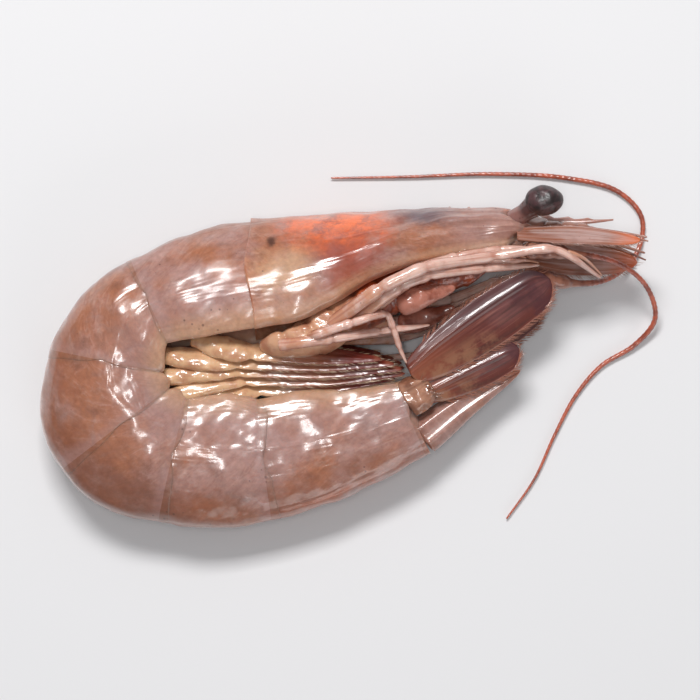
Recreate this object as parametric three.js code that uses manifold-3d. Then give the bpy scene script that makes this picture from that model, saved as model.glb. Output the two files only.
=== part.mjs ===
// A raw, whole tiger prawn lying curled on its left side. Millimetres, +Z up.
// Its head points along +X and its back faces +Y; the tail curls round under the legs.
// Each plate of the shell, each limb and each blade of the tail fan is one mesh.
import * as THREE from 'three';
import { mergeVertices } from 'three/addons/utils/BufferGeometryUtils.js';
import Module from 'manifold-3d';

const wasm = await Module();
wasm.setup();

const { degToRad, lerp, clamp, smoothstep } = THREE.MathUtils;
const UP = new THREE.Vector3(0, 0, 1);

// ---------------------------------------------------------------- driving dimensions

const GAP = 0.3; // clearance between neighbouring pieces
const LIP = 0.3; // how far the rear edge of each plate flares over the next one
const STEP_DOWN = 0.35; // how far each plate starts below the lip in front of it

// The neck is the joint between the head shell and the first tail segment.
const NECK = {
  x: -10.85, y: 10.85, z: 7.35, heading: 183, roll: 25, back: 9.6, belly: 9.5, halfWidth: 7.0,
};

// Tail segments from front to rear. Length runs along the middle, turn is the curl towards the belly,
// and the other values are those of the rear edge: back and belly are measured from the middle.
const SOMITES = [
  { length: 15.8, turn: 22, back: 7.9, belly: 7.5, halfWidth: 6.9, roll: 17, z: 7.0 },
  { length: 10.5, turn: 54, back: 9.2, belly: 8.7, halfWidth: 6.9, roll: 8, z: 6.75 },
  { length: 9.5, turn: 48, back: 12.0, belly: 8.7, halfWidth: 6.8, roll: 2, z: 6.6 },
  { length: 8.8, turn: 40, back: 10.6, belly: 8.9, halfWidth: 6.5, roll: 0, z: 6.3 },
  { length: 13.3, turn: 20, back: 9.4, belly: 9.2, halfWidth: 5.8, roll: 0, z: 5.9 },
  { length: 22.4, turn: 16, back: 6.0, belly: 6.0, halfWidth: 3.9, roll: 0, z: 6.0 },
];

// The head shell, by distance forward of the neck.
const HEAD = {
  heading: 3,
  tilt: 3,
  length: 41,
  back: [[0, 9.6], [10, 9.8], [22, 9.8], [32, 9.7], [38, 9.1], [41, 8.2]],
  belly: [[0, 9.5], [5, 9.1], [10, 7.2], [17, 3.0], [22, 1.0], [30, -0.8], [35, -1.7], [41, -3.0]],
  halfWidth: [[0, 7.0], [10, 7.5], [20, 7.1], [30, 5.6], [37, 4.2], [41, 3.0]],
};

// The rostrum is the toothed blade that the head shell ends in.
const ROSTRUM = {
  from: 27, tip: 53, tipRise: 7.1, depth: 3.4, halfThickness: 0.7, teeth: 8, toothHeight: 0.8,
};

const EYE = { along: 2.8, tall: 2.25, wide: 2.3 }; // half sizes

// ---------------------------------------------------------------- curves and frames

// A smooth function through [position, value] stations.
function through(stations) {
  const last = stations.length - 1;
  const slope = (i) => {
    const [x0, y0] = stations[Math.max(i - 1, 0)];
    const [x1, y1] = stations[Math.min(i + 1, last)];
    return (y1 - y0) / (x1 - x0);
  };
  return (x) => {
    let i = 0;
    while (i < last - 1 && x > stations[i + 1][0]) i += 1;
    const [x0, y0] = stations[i];
    const [x1, y1] = stations[i + 1];
    const h = x1 - x0;
    const t = clamp((x - x0) / h, 0, 1);
    const s = 1 - t;
    return (
      y0 * s * s * (1 + 2 * t) + y1 * t * t * (3 - 2 * t) +
      h * t * s * (slope(i) * s - slope(i + 1) * t)
    );
  };
}

// A station's axes: along is the way the body runs, back its dorsal side and right its right side.
// A roll turns the back towards the floor.
function axesOf(heading, roll, backSign, tilt = 0) {
  const h = degToRad(heading);
  const flatBack = new THREE.Vector3(-Math.sin(h), Math.cos(h), 0).multiplyScalar(backSign);
  const r = degToRad(roll);
  const back = flatBack.clone().multiplyScalar(Math.cos(r)).addScaledVector(UP, -Math.sin(r));
  const right = UP.clone().multiplyScalar(Math.cos(r)).addScaledVector(flatBack, Math.sin(r));
  const along = new THREE.Vector3(Math.cos(h), Math.sin(h), Math.tan(degToRad(tilt))).normalize();
  return { along, back, right };
}

const neckPoint = new THREE.Vector3(NECK.x, NECK.y, NECK.z);
const headAxes = axesOf(HEAD.heading, NECK.roll, 1, HEAD.tilt);

// The point that lies forward of the neck, towards the back and to the right by these distances.
function inHead(forward, rise, right) {
  return neckPoint.clone()
    .addScaledVector(headAxes.along, forward)
    .addScaledVector(headAxes.back, rise)
    .addScaledVector(headAxes.right, right);
}

// The joints between tail segments, walked from the neck along one arc for each segment.
const joints = [{ ...NECK, point: neckPoint }];
for (const somite of SOMITES) {
  const from = joints.at(-1);
  const [a, b] = [degToRad(from.heading), degToRad(from.heading + somite.turn)];
  const radius = somite.length / (b - a);
  const point = new THREE.Vector3(
    from.point.x + radius * (Math.sin(b) - Math.sin(a)),
    from.point.y - radius * (Math.cos(b) - Math.cos(a)),
    somite.z,
  );
  joints.push({ ...somite, heading: from.heading + somite.turn, point });
}
const tailRoot = joints.at(-1);

const bodyValue = Object.fromEntries(
  ['back', 'belly', 'halfWidth', 'roll', 'z'].map((key) => [
    key,
    through(joints.map((joint, i) => [i, joint[key]])),
  ]),
);

// The tail at position s: a whole number is a joint, and a fraction lies inside a segment.
function tailStation(s) {
  const i = Math.min(Math.floor(s), SOMITES.length - 1);
  const u = s - i;
  const { length, turn } = SOMITES[i];
  const a = degToRad(joints[i].heading);
  const b = a + degToRad(turn) * u;
  const radius = length / degToRad(turn);
  const [back, belly, halfWidth] = [bodyValue.back(s), bodyValue.belly(s), bodyValue.halfWidth(s)];
  return {
    centre: new THREE.Vector3(
      joints[i].point.x + radius * (Math.sin(b) - Math.sin(a)),
      joints[i].point.y - radius * (Math.cos(b) - Math.cos(a)),
      bodyValue.z(s),
    ),
    ...axesOf(joints[i].heading + turn * u, bodyValue.roll(s), -1),
    size: { back, belly, halfWidth, waist: 0 },
  };
}

const headSize = {
  back: through(HEAD.back),
  belly: through(HEAD.belly),
  halfWidth: through(HEAD.halfWidth),
};

// Towards the front the belly line rises, and the widest level, the waist, rises with it.
function headStation(forward) {
  const [back, belly] = [headSize.back(forward), headSize.belly(forward)];
  const waist = smoothstep(forward, 4, 30) * (back - belly) / 2;
  return {
    centre: inHead(forward, 0, 0),
    ...headAxes,
    size: { back, belly, halfWidth: headSize.halfWidth(forward), waist },
  };
}

// ---------------------------------------------------------------- meshes

// One side of a cross-section, from the back's middle line to the belly's, as [right, rise] shares of
// the half width and of the back or belly height. The side plates hang below the belly between them.
const TAIL_SECTION = [
  [0, 1], [0.5, 0.9], [0.87, 0.5], [1, 0], [0.95, -0.45],
  [0.76, -0.85], [0.56, -1], [0.4, -0.88], [0, -0.72],
];
const HEAD_SECTION = [
  [0, 1], [0.36, 0.93], [0.76, 0.6], [0.97, 0.12], [1, -0.35],
  [0.85, -0.8], [0.62, -1], [0.46, -0.9], [0, -0.8],
];

// The whole cross-section as a closed curve.
function sectionCurve(half) {
  const left = half.slice(1, -1).reverse().map(([right, rise]) => [-right, rise]);
  const points = [...half, ...left].map(([right, rise]) => new THREE.Vector3(right, rise, 0));
  return new THREE.CatmullRomCurve3(points, true, 'catmullrom', 0.5);
}

const sections = { tail: sectionCurve(TAIL_SECTION), head: sectionCurve(HEAD_SECTION) };

// A ring of points round a body station, drawn in by inset. What would pass the floor lies flat on it.
function bodyRing(station, curve, inset, sides) {
  const { centre, back, right, size } = station;
  const up = size.back - size.waist - inset;
  const down = size.belly + size.waist - inset;
  return Array.from({ length: sides }, (_, i) => {
    const { x, y } = curve.getPoint(i / sides);
    const point = centre.clone()
      .addScaledVector(back, size.waist + (y > 0 ? y * up : y * down))
      .addScaledVector(right, x * (size.halfWidth - inset));
    point.z = Math.max(point.z, 0);
    return point;
  });
}

// A closed mesh through rings of equal length, with a flat fan on each end.
function loft(rings) {
  const sides = rings[0].length;
  const middleOf = (ring) => ring.reduce((sum, p) => sum.add(p), new THREE.Vector3()).divideScalar(sides);
  const points = [...rings.flat(), middleOf(rings[0]), middleOf(rings.at(-1))];
  const [firstMiddle, lastMiddle] = [points.length - 2, points.length - 1];
  const index = [];
  for (let side = 0; side < sides; side += 1) {
    const next = (side + 1) % sides;
    index.push(firstMiddle, next, side);
    for (let ring = 0; ring < rings.length - 1; ring += 1) {
      const [a, b] = [ring * sides + side, ring * sides + next];
      index.push(a, b, b + sides, a, b + sides, a + sides);
    }
    const lastRing = (rings.length - 1) * sides;
    index.push(lastMiddle, lastRing + side, lastRing + next);
  }
  return new THREE.BufferGeometry().setFromPoints(points).setIndex(index);
}

// A tube or blade along a smooth path. widths and thicknesses are half sizes by share of the path,
// and up is the way the thickness is measured.
function sweep({ path, widths, thicknesses = widths, up = UP, steps, sides }, grow) {
  const curve = new THREE.CatmullRomCurve3(path, false, 'centripetal');
  const [width, thickness] = [through(widths), through(thicknesses)];
  const rings = [];
  for (let i = 0; i <= steps; i += 1) {
    const t = i / steps;
    const tangent = curve.getTangentAt(t);
    const side = new THREE.Vector3().crossVectors(tangent, up).normalize();
    const over = new THREE.Vector3().crossVectors(side, tangent);
    const centre = curve.getPointAt(t);
    if (i === 0) centre.addScaledVector(tangent, -grow);
    if (i === steps) centre.addScaledVector(tangent, grow);
    rings.push(Array.from({ length: sides }, (_, k) => {
      const angle = (2 * Math.PI * k) / sides;
      return centre.clone()
        .addScaledVector(side, Math.cos(angle) * (width(t) + grow))
        .addScaledVector(over, Math.sin(angle) * (thickness(t) + grow));
    }));
  }
  return loft(rings);
}

// ---------------------------------------------------------------- solids

// The geometry as a manifold solid, turned right side out.
function solidOf(geometry) {
  const bare = geometry.clone();
  const extras = Object.keys(bare.attributes).filter((name) => name !== 'position');
  extras.forEach((name) => bare.deleteAttribute(name));
  const merged = mergeVertices(bare, 1e-4);
  const make = (triVerts) => new wasm.Manifold(new wasm.Mesh({
    numProp: 3,
    vertProperties: new Float32Array(merged.attributes.position.array),
    triVerts,
  }));
  const solid = make(new Uint32Array(merged.index.array));
  return solid.volume() > 0 ? solid : make(new Uint32Array(merged.index.array).reverse());
}

function geometryOf(solid) {
  const mesh = solid.getMesh();
  const positions = new Float32Array(mesh.numVert * 3);
  for (let i = 0; i < mesh.numVert; i += 1) {
    positions.set(mesh.vertProperties.subarray(i * mesh.numProp, i * mesh.numProp + 3), i * 3);
  }
  const geometry = new THREE.BufferGeometry();
  geometry.setAttribute('position', new THREE.BufferAttribute(positions, 3));
  geometry.setIndex(new THREE.BufferAttribute(new Uint32Array(mesh.triVerts), 1));
  geometry.computeVertexNormals();
  return geometry;
}

const prawn = new THREE.Group();
const placed = [];

// Adds a piece. make(grow) gives its geometry, grown by that much. The piece is cut back from every
// earlier one by the gap, and only its largest part is kept.
function place(name, look, make) {
  let solid = solidOf(make(0));
  const { min, max } = solid.boundingBox();
  for (const other of placed) {
    const apart = [0, 1, 2].some((k) => min[k] > other.max[k] || max[k] < other.min[k]);
    if (!apart) solid = solid.subtract(other.grown);
  }
  const kept = solid.decompose().sort((a, b) => b.volume() - a.volume())[0];
  const mesh = new THREE.Mesh(geometryOf(kept), look);
  mesh.name = name;
  prawn.add(mesh);
  const grown = solidOf(make(GAP));
  placed.push({ grown, ...grown.boundingBox() });
}

function material(color, roughness) {
  return new THREE.MeshStandardMaterial({ color, roughness, metalness: 0 });
}

const MATERIALS = {
  shell: material('#a9806e', 0.25),
  head: material('#b8714f', 0.25),
  flesh: material('#8c5a40', 0.4),
  eye: material('#17120f', 0.12),
  stalk: material('#a07f6c', 0.35),
  leg: material('#d3a893', 0.3),
  palp: material('#b0776a', 0.3),
  swimmeret: material('#b79a72', 0.35),
  feeler: material('#b5583a', 0.4),
  scale: material('#b08468', 0.3),
  fan: material('#5b3027', 0.25),
};

// ---------------------------------------------------------------- head shell

const BODY_SIDES = 26;

function rostrumGeometry(grow) {
  const { from, tip, tipRise, depth, halfThickness, teeth, toothHeight } = ROSTRUM;
  const thickness = 2 * (halfThickness + grow);
  const outline = new THREE.Shape();
  const top = (forward) => lerp(headSize.back(from) + 0.2, tipRise, smoothstep(forward, from, tip)) + grow;
  const under = (forward) => top(forward) - depth * (1 - (forward - from) / (tip - from)) - 0.25 - 2 * grow;
  const pitch = (tip - from) / (teeth + 1);
  outline.moveTo(from, top(from));
  for (let tooth = 0; tooth < teeth; tooth += 1) {
    const start = from + tooth * pitch;
    outline.lineTo(start + pitch * 0.7, top(start + pitch * 0.7) + toothHeight * (1 - tooth / (teeth + 3)));
    outline.lineTo(start + pitch, top(start + pitch));
  }
  outline.lineTo(tip + grow, top(tip) - 0.1);
  for (let i = 6; i >= 0; i -= 1) {
    const forward = lerp(from, tip, i / 6);
    outline.lineTo(forward, under(forward));
  }
  const blade = new THREE.ExtrudeGeometry(outline, { depth: thickness, bevelEnabled: false });
  blade.translate(0, 0, -thickness / 2);
  const frame = new THREE.Matrix4().makeBasis(headAxes.along, headAxes.back, headAxes.right);
  return blade.applyMatrix4(frame.setPosition(neckPoint));
}

function carapaceGeometry(grow) {
  const rings = [];
  const steps = 15;
  for (let i = 0; i <= steps; i += 1) {
    const t = i / steps;
    const flare = LIP * (1 - smoothstep(t, 0, 0.08));
    const nose = 2.2 * smoothstep(t, 0.93, 1.03);
    const station = headStation(GAP / 2 - grow + t * (HEAD.length - GAP / 2 + 2 * grow));
    rings.push(bodyRing(station, sections.head, nose - flare - grow, BODY_SIDES));
  }
  return geometryOf(solidOf(loft(rings)).add(solidOf(rostrumGeometry(grow))));
}

place('carapace', MATERIALS.head, carapaceGeometry);

// ---------------------------------------------------------------- tail segments

// One segment's plate: it starts low under the lip in front of it and flares into its own lip.
function somiteGeometry(number, grow) {
  const rings = [];
  const steps = 5;
  for (let i = 0; i <= steps; i += 1) {
    const u = i / steps;
    const station = tailStation(number + u);
    if (i === 0) station.centre.addScaledVector(station.along, GAP / 2 - grow);
    if (i === steps) station.centre.addScaledVector(station.along, grow - GAP / 2);
    const front = STEP_DOWN * (1 - smoothstep(u, 0, 0.16));
    const rear = LIP * smoothstep(u, 0.84, 1);
    const swell = 0.25 * Math.sin(Math.PI * u);
    station.size.belly += 0.5 * Math.sin(Math.PI * u);
    rings.push(bodyRing(station, sections.tail, front - rear - swell - grow, BODY_SIDES));
  }
  return loft(rings);
}

SOMITES.forEach((_, number) => {
  place(`somite_${number + 1}`, MATERIALS.shell, (grow) => somiteGeometry(number, grow));
});

// ---------------------------------------------------------------- tail fan

const fanAxes = axesOf(tailRoot.heading, 0, -1);

// A point behind the last joint, towards the back and to the right of it.
function inFan(behind, rise, right) {
  return tailRoot.point.clone()
    .addScaledVector(fanAxes.along, behind)
    .addScaledVector(fanAxes.back, rise)
    .addScaledVector(fanAxes.right, right);
}

place('telson', MATERIALS.shell, (grow) => sweep({
  path: [inFan(0.4, 3.1, 0), inFan(8, 1.1, 0), inFan(17.8, -0.3, 0)],
  widths: [[0, 2.9], [0.3, 2.5], [0.8, 1.1], [1, 0.25]],
  thicknesses: [[0, 2.1], [0.3, 1.7], [0.65, 0.9], [0.85, 0.5], [1, 0.2]],
  steps: 9,
  sides: 10,
}, grow));

// The short stalks that carry the blades, one on each side of the telson.
for (const [side, sign] of [['right', 1], ['left', -1]]) {
  place(`uropod_stalk_${side}`, MATERIALS.shell, (grow) => sweep({
    path: [inFan(0.4, -2.9, 2.4 * sign), inFan(2.4, -3.2, 2.8 * sign), inFan(4.8, -3.9, 3.1 * sign)],
    widths: [[0, 2.6], [0.5, 2.9], [1, 2.0]],
    thicknesses: [[0, 1.1], [0.5, 1.2], [1, 0.7]],
    steps: 5,
    sides: 10,
  }, grow));
}

// The four blades. They start behind the tail's last joint, swing towards the belly and taper to a
// round end. rise and right say where each one starts.
const BLADES = [
  { name: 'exopod_right', from: 2.6, to: 26.9, halfWidth: 3.9, rise: -5.6, swing: 11.4, right: 3.6 },
  { name: 'endopod_right', from: 3.2, to: 18.8, halfWidth: 3.0, rise: -2.5, swing: 3, right: 2.2 },
  { name: 'endopod_left', from: 3.2, to: 24.6, halfWidth: 3.0, rise: -3.0, swing: 12, right: -2.2 },
  { name: 'exopod_left', from: 3.6, to: 26.0, halfWidth: 3.8, rise: -5.2, swing: 11, right: -3.5 },
];
for (const { name, from, to, halfWidth, rise, swing, right } of BLADES) {
  const fold = Math.tan(degToRad(swing));
  const shares = [[0, 0.5], [0.2, 0.82], [0.55, 1], [0.88, 0.85], [1, 0.54]];
  place(`uropod_${name}`, MATERIALS.fan, (grow) => sweep({
    path: [from, lerp(from, to, 0.35), lerp(from, to, 0.7), to].map(
      (behind) => inFan(behind, rise - behind * fold, right),
    ),
    widths: shares.map(([along, share]) => [along, share * halfWidth]),
    thicknesses: [[0, 0.7], [0.3, 0.45], [1, 0.25]],
    steps: 9,
    sides: 8,
  }, grow));
}

// ---------------------------------------------------------------- under the head shell

// The flesh that the legs stand on, which reaches from inside the shell to below its margin.
place('thorax', MATERIALS.flesh, (grow) => sweep({
  path: [2, 8, 14, 20, 27, 34].map((forward) => inHead(forward, -1.1 - headSize.belly(forward), 0)),
  widths: [[0, 2.0], [0.25, 3.6], [0.7, 3.2], [1, 1.8]],
  thicknesses: [[0, 0.9], [0.25, 3.3], [0.7, 2.8], [1, 1.5]],
  up: headAxes.back,
  steps: 11,
  sides: 10,
}, grow));

place('head', MATERIALS.stalk, (grow) => sweep({
  path: [inHead(35, 5.2, 0), inHead(40, 5.6, 0), inHead(44.5, 5.8, 0)],
  widths: [[0, 2.4], [0.7, 2.2], [1, 1.2]],
  thicknesses: [[0, 3.0], [0.7, 2.4], [1, 1.3]],
  up: headAxes.back,
  steps: 5,
  sides: 10,
}, grow));

// The palps fold over the mouth, one on each side of it.
for (const [side, sign] of [['right', 1], ['left', -1]]) {
  place(`jaw_palp_${side}`, MATERIALS.palp, (grow) => sweep({
    path: [inHead(20.5, -7.0, 2.6 * sign), inHead(24, -5.8, 3.9 * sign), inHead(29, -4.4, 3.3 * sign)],
    widths: [[0, 1.3], [0.5, 1.6], [1, 0.6]],
    thicknesses: [[0, 0.9], [0.5, 1.1], [1, 0.5]],
    steps: 6,
    sides: 8,
  }, grow));
}

// ---------------------------------------------------------------- eyes

const EYES = [
  { side: 'right', forward: 42.7, rise: 7.8, right: 5.8, stalk: [38.4, 6.6, 2.4] },
  { side: 'left', forward: 42.2, rise: 7.4, right: -4.6, stalk: [38.4, 6.6, -2.4] },
];
for (const { side, forward, rise, right, stalk } of EYES) {
  const centre = inHead(forward, rise, right);
  place(`eye_${side}`, MATERIALS.eye, (grow) => {
    const ball = new THREE.SphereGeometry(1, 12, 7);
    ball.scale(EYE.along + grow, EYE.tall + grow, EYE.wide + grow);
    return ball.translate(centre.x, centre.y, centre.z);
  });
  place(`eyestalk_${side}`, MATERIALS.stalk, (grow) => sweep({
    path: [inHead(...stalk), inHead(forward - 0.8, rise - 0.1, right * 0.95)],
    widths: [[0, 1.6], [0.4, 1.4], [1, 1.9]],
    up: headAxes.back,
    steps: 4,
    sides: 8,
  }, grow));
}

// ---------------------------------------------------------------- feelers and scales

const SIDES = [
  { side: 'right', sign: 1 },
  { side: 'left', sign: -1 },
];

for (const { side, sign } of SIDES) {
  // The scales are thin leaves that tilt outwards.
  const normal = headAxes.back.clone().multiplyScalar(0.6).addScaledVector(headAxes.right, 0.8 * sign);
  place(`antennal_scale_${side}`, MATERIALS.scale, (grow) => sweep({
    path: [inHead(38.5, 3.8, 2.9 * sign), inHead(47.5, 2.8, 3.7 * sign), inHead(56.3, 1.5, 3.4 * sign)],
    widths: [[0, 1.5], [0.4, 2.6], [0.8, 2.0], [1, 0.8]],
    thicknesses: [[0, 0.7], [0.4, 0.45], [1, 0.25]],
    up: normal,
    steps: 7,
    sides: 8,
  }, grow));
  place(`antennule_${side}`, MATERIALS.stalk, (grow) => sweep({
    path: [[42.5, 5.6, 1.2], [46, 5.3, 1.4], [49.5, 4.7, 1.6], [53.5, 3.8, 2.0], [57.5, 2.5, 2.6]].map(
      ([forward, rise, right]) => inHead(forward, rise, right * sign),
    ),
    widths: [[0, 1.1], [0.4, 0.85], [0.5, 0.4], [1, 0.2]],
    up: headAxes.right,
    steps: 8,
    sides: 6,
  }, grow));
}

// The long feelers leave the head under the scales and come down to the floor. The right one loops
// back below the tail fan, and the left one sweeps back beside the head.
const FEELERS = [
  {
    side: 'right', start: [[39.5, 1.2, 3.0], [45, 0.4, 3.4]],
    loop: [[42, 13.6, 9.0], [46.8, 10.0, 5.2], [48.2, 5.2, 2.2], [45.2, 1.4, 0.8], [40.4, -1.6, 0.5],
      [36.6, -6.0, 0.5], [33.4, -12.0, 0.5], [30.4, -18.5, 0.5], [26.2, -24.5, 0.5]],
  },
  {
    side: 'left', start: [[39.5, 0.4, -1.6], [43, -1.2, -2.0]],
    loop: [[38, 10.6, 5.6], [42.5, 12.0, 2.4], [45.8, 15.5, 0.7], [46.4, 20.5, 0.5], [42.8, 24.4, 0.5],
      [35, 26.4, 0.5], [24, 27.0, 0.5], [12, 26.6, 0.5], [0, 26.4, 0.5]],
  },
];
for (const { side, start, loop } of FEELERS) {
  place(`antenna_${side}`, MATERIALS.feeler, (grow) => sweep({
    path: [...start.map((point) => inHead(...point)), ...loop.map((point) => new THREE.Vector3(...point))],
    widths: [[0, 1.3], [0.08, 1.1], [0.12, 0.55], [0.5, 0.42], [1, 0.2]],
    steps: 32,
    sides: 6,
  }, grow));
}

// ---------------------------------------------------------------- legs

// A limb walked from its root: each segment has a length, a heading in plan and a slope.
function walk(root, segments) {
  const points = [root];
  for (const [length, heading, slope] of segments) {
    const [h, s] = [degToRad(heading), degToRad(slope)];
    const step = new THREE.Vector3(Math.cos(h) * Math.cos(s), Math.sin(h) * Math.cos(s), Math.sin(s));
    points.push(points.at(-1).clone().addScaledVector(step, length));
  }
  return points;
}

// The path through a limb's joints with crisp bends: it runs straight between them.
function crisp(points) {
  return points.flatMap((point, i) => (
    i === 0 || i === points.length - 1
      ? [point]
      : [point.clone().lerp(points[i - 1], 0.12), point.clone().lerp(points[i + 1], 0.12)]
  ));
}

const downwards = new THREE.Raycaster();

// The height of what already lies under a point of the plan.
function heightAt(x, y) {
  downwards.set(new THREE.Vector3(x, y, 60), new THREE.Vector3(0, 0, -1));
  const hit = downwards.intersectObjects(prawn.children, false)[0];
  return hit ? hit.point.z : 0;
}

// Lays a limb of that radius on what is below it: its path is lifted wherever it would sink in.
function drape(points, radius) {
  const count = 24;
  const curve = new THREE.CatmullRomCurve3(points, false, 'centripetal');
  const samples = curve.getSpacedPoints(count);
  const needed = samples.map((p, i) => {
    const tangent = curve.getTangentAt(i / count);
    const reach = radius * limbTaper(i / count);
    const beside = (share) => heightAt(p.x - tangent.y * reach * share, p.y + tangent.x * reach * share);
    const under = Math.max(beside(0), ...[-1, 1].map((share) => beside(share * 0.7) - 0.3 * reach));
    return Math.max(p.z, under + reach + GAP);
  });
  const around = (list, i) => [list[Math.max(i - 1, 0)], list[i], list[Math.min(i + 1, count)]];
  const raised = needed.map((_, i) => Math.max(...around(needed, i)));
  return samples.map((p, i) => {
    const [a, b, c] = around(raised, i);
    const lift = smoothstep(i, 0, 3);
    return new THREE.Vector3(p.x, p.y, lerp(p.z, (a + b + c) / 3, lift));
  });
}

// The five walking legs, numbered from the front, and the jaw leg that runs ahead of them, in the order
// they lie on each other. root is where each starts, forward of the neck and towards the back.
// Segments are [length, heading, slope].
const LIMBS = [
  {
    name: 'jaw_leg', radius: 0.8, root: [19.6, -4.1],
    right: [[5.5, 40, -2], [5.9, 17, -6], [6.4, 10, -10], [5.3, 2, -8]],
    left: [[10.5, 5, -32], [7.8, 22, -6], [8.4, 8, 0]],
  },
  {
    name: 'leg_1', radius: 0.8, root: [16.1, -7.2],
    right: [[7.7, 38, -2], [4.6, 20, -6], [6.8, 9, -10], [6.3, 4, -8]],
    left: [[11.2, 8, -37], [8.2, 26, -6], [6.3, 12, 0]],
  },
  {
    name: 'leg_2', radius: 0.85, root: [13.3, -8.6],
    right: [[9.2, 36, -4], [4.6, 20, -8], [8.1, 7, -10], [8.4, 4, -8]],
    left: [[12.8, 6, -36], [10, 22, -5], [8.4, 12, 0]],
  },
  {
    name: 'leg_3', radius: 0.9, root: [10.2, -9.0],
    right: [[9.5, 36, -2], [7.3, 25, -6], [10.3, 9, -10], [8.8, 8, -8], [8.6, -31, -12]],
    left: [[13.2, 0, -39], [12.5, 18, -4], [11.6, 14, 0]],
  },
  {
    name: 'leg_5', radius: 0.75, root: [2.8, -11.6],
    right: [[8.1, 7, -8], [7.1, 9, -10], [7.4, 7, -8]],
    left: [[12.9, -12, -43], [6, -2, -7], [3.1, -8, 0]],
  },
  {
    name: 'leg_4', radius: 0.65, root: [6.7, -10.7],
    right: [[7.4, 18, -4], [5.1, 16, -6], [2.5, -65, -14], [3.3, -72, -18], [2.5, -65, -18]],
    left: [[13.3, -8, -40], [7.7, 6, -6], [4.3, 4, 0]],
  },
];

const limbTaper = through([[0, 1.1], [0.3, 0.95], [0.6, 0.75], [0.85, 0.6], [1, 0.2]]);

function placeLimb(name, radius, path, steps) {
  place(name, MATERIALS.leg, (grow) => sweep({
    path,
    widths: [0, 0.3, 0.6, 0.85, 1].map((along) => [along, limbTaper(along) * radius]),
    steps,
    sides: 6,
  }, grow));
}

for (const { name, radius, root, left } of LIMBS) {
  const path = crisp(walk(inHead(...root, -1.7), left));
  path.forEach((point) => { point.z = Math.max(point.z, radius + 0.1); });
  placeLimb(`${name}_left`, radius, path, 10);
}

// ---------------------------------------------------------------- swimmerets

// One pair for each of the first five tail segments. Each has a stout root that runs out from the belly
// and a flat blade that folds forward; the blades lie over each other like slats. LANES says where the
// first and the last one pass the bend and end, across the curl.
const LANES = { bend: [0.9, -5.2], end: [-0.6, -3.4], rise: 3.0, drop: 0.5, lean: 35 };
const SWIMMERETS = [
  { joint: 0.75, stalk: 5.5, tip: 7.5 },
  { joint: 1.45, stalk: 6.5, tip: 9.4 },
  { joint: 2.35, stalk: 7.0, tip: 10.6 },
  { joint: 3.3, stalk: 7.5, tip: 11.0 },
  { joint: 4.15, stalk: 7.0, tip: 9.6 },
];
SWIMMERETS.forEach(({ joint, stalk, tip }, i) => {
  const { centre, back, size } = tailStation(joint);
  const order = i / (SWIMMERETS.length - 1);
  for (const { side, sign } of SIDES) {
    const root = centre.clone().addScaledVector(back, 1.2 - size.belly);
    root.z = centre.z + LANES.rise * sign;
    const level = root.z + 0.9 - LANES.drop * i;
    const bend = new THREE.Vector3(root.x + stalk, lerp(...LANES.bend, order), level);
    const end = new THREE.Vector3(tip, lerp(...LANES.end, order), level - 0.3);
    const lean = degToRad(LANES.lean);
    place(`swimmeret_${i + 1}_${side}`, MATERIALS.swimmeret, (grow) => sweep({
      path: [root, bend, bend.clone().lerp(end, 0.5), end],
      widths: [[0, 1.1], [0.2, 1.5], [0.35, 1.25], [0.7, 1.4], [1, 0.4]],
      thicknesses: [[0, 1.0], [0.2, 0.9], [0.35, 0.45], [1, 0.25]],
      up: new THREE.Vector3(0, Math.sin(lean), Math.cos(lean)),
      steps: 7,
      sides: 6,
    }, grow));
  }
});

// ---------------------------------------------------------------- legs of the upper side

for (const { name, radius, root, right } of LIMBS) {
  placeLimb(`${name}_right`, radius, drape(crisp(walk(inHead(...root, 2.2), right)), radius), 13);
}

// ---------------------------------------------------------------- the part's own origin

// The origin is the middle of the part's footprint, on the floor.
const box = new THREE.Box3().setFromObject(prawn);
const middle = box.getCenter(new THREE.Vector3());
prawn.position.set(-middle.x, -middle.y, -box.min.z);

export default prawn;
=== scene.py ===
"""The looks of a raw tiger prawn that lies curled on its left side.

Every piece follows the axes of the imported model: the head's straight axis and the arcs of the tail
segments. Lengths are in millimetres until a mesh is made. A surface is a grid of points, ring by ring,
and marks are numbers kept at its points for the materials to read.
"""

import bpy
import numpy as np
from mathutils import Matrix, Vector
from mathutils.bvhtree import BVHTree


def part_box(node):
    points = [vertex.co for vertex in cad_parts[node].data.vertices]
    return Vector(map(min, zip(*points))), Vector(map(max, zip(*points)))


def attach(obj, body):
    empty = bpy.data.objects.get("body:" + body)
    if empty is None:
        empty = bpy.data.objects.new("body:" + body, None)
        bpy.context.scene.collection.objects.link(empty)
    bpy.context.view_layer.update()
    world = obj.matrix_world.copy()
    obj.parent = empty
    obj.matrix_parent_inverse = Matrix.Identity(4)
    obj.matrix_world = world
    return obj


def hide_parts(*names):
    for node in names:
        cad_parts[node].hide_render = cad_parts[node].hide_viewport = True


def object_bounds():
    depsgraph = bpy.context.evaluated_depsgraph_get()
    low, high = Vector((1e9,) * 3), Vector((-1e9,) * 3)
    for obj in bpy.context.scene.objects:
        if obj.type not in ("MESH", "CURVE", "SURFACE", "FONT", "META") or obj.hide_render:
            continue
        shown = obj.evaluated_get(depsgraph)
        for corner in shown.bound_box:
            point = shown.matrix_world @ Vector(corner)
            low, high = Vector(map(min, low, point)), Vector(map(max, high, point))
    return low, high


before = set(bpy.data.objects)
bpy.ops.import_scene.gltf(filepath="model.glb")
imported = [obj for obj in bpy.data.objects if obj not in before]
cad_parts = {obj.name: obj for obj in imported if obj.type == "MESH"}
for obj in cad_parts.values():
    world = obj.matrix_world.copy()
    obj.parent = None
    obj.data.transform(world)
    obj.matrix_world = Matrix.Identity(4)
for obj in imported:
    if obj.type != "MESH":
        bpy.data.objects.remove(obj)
cad_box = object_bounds()

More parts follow.
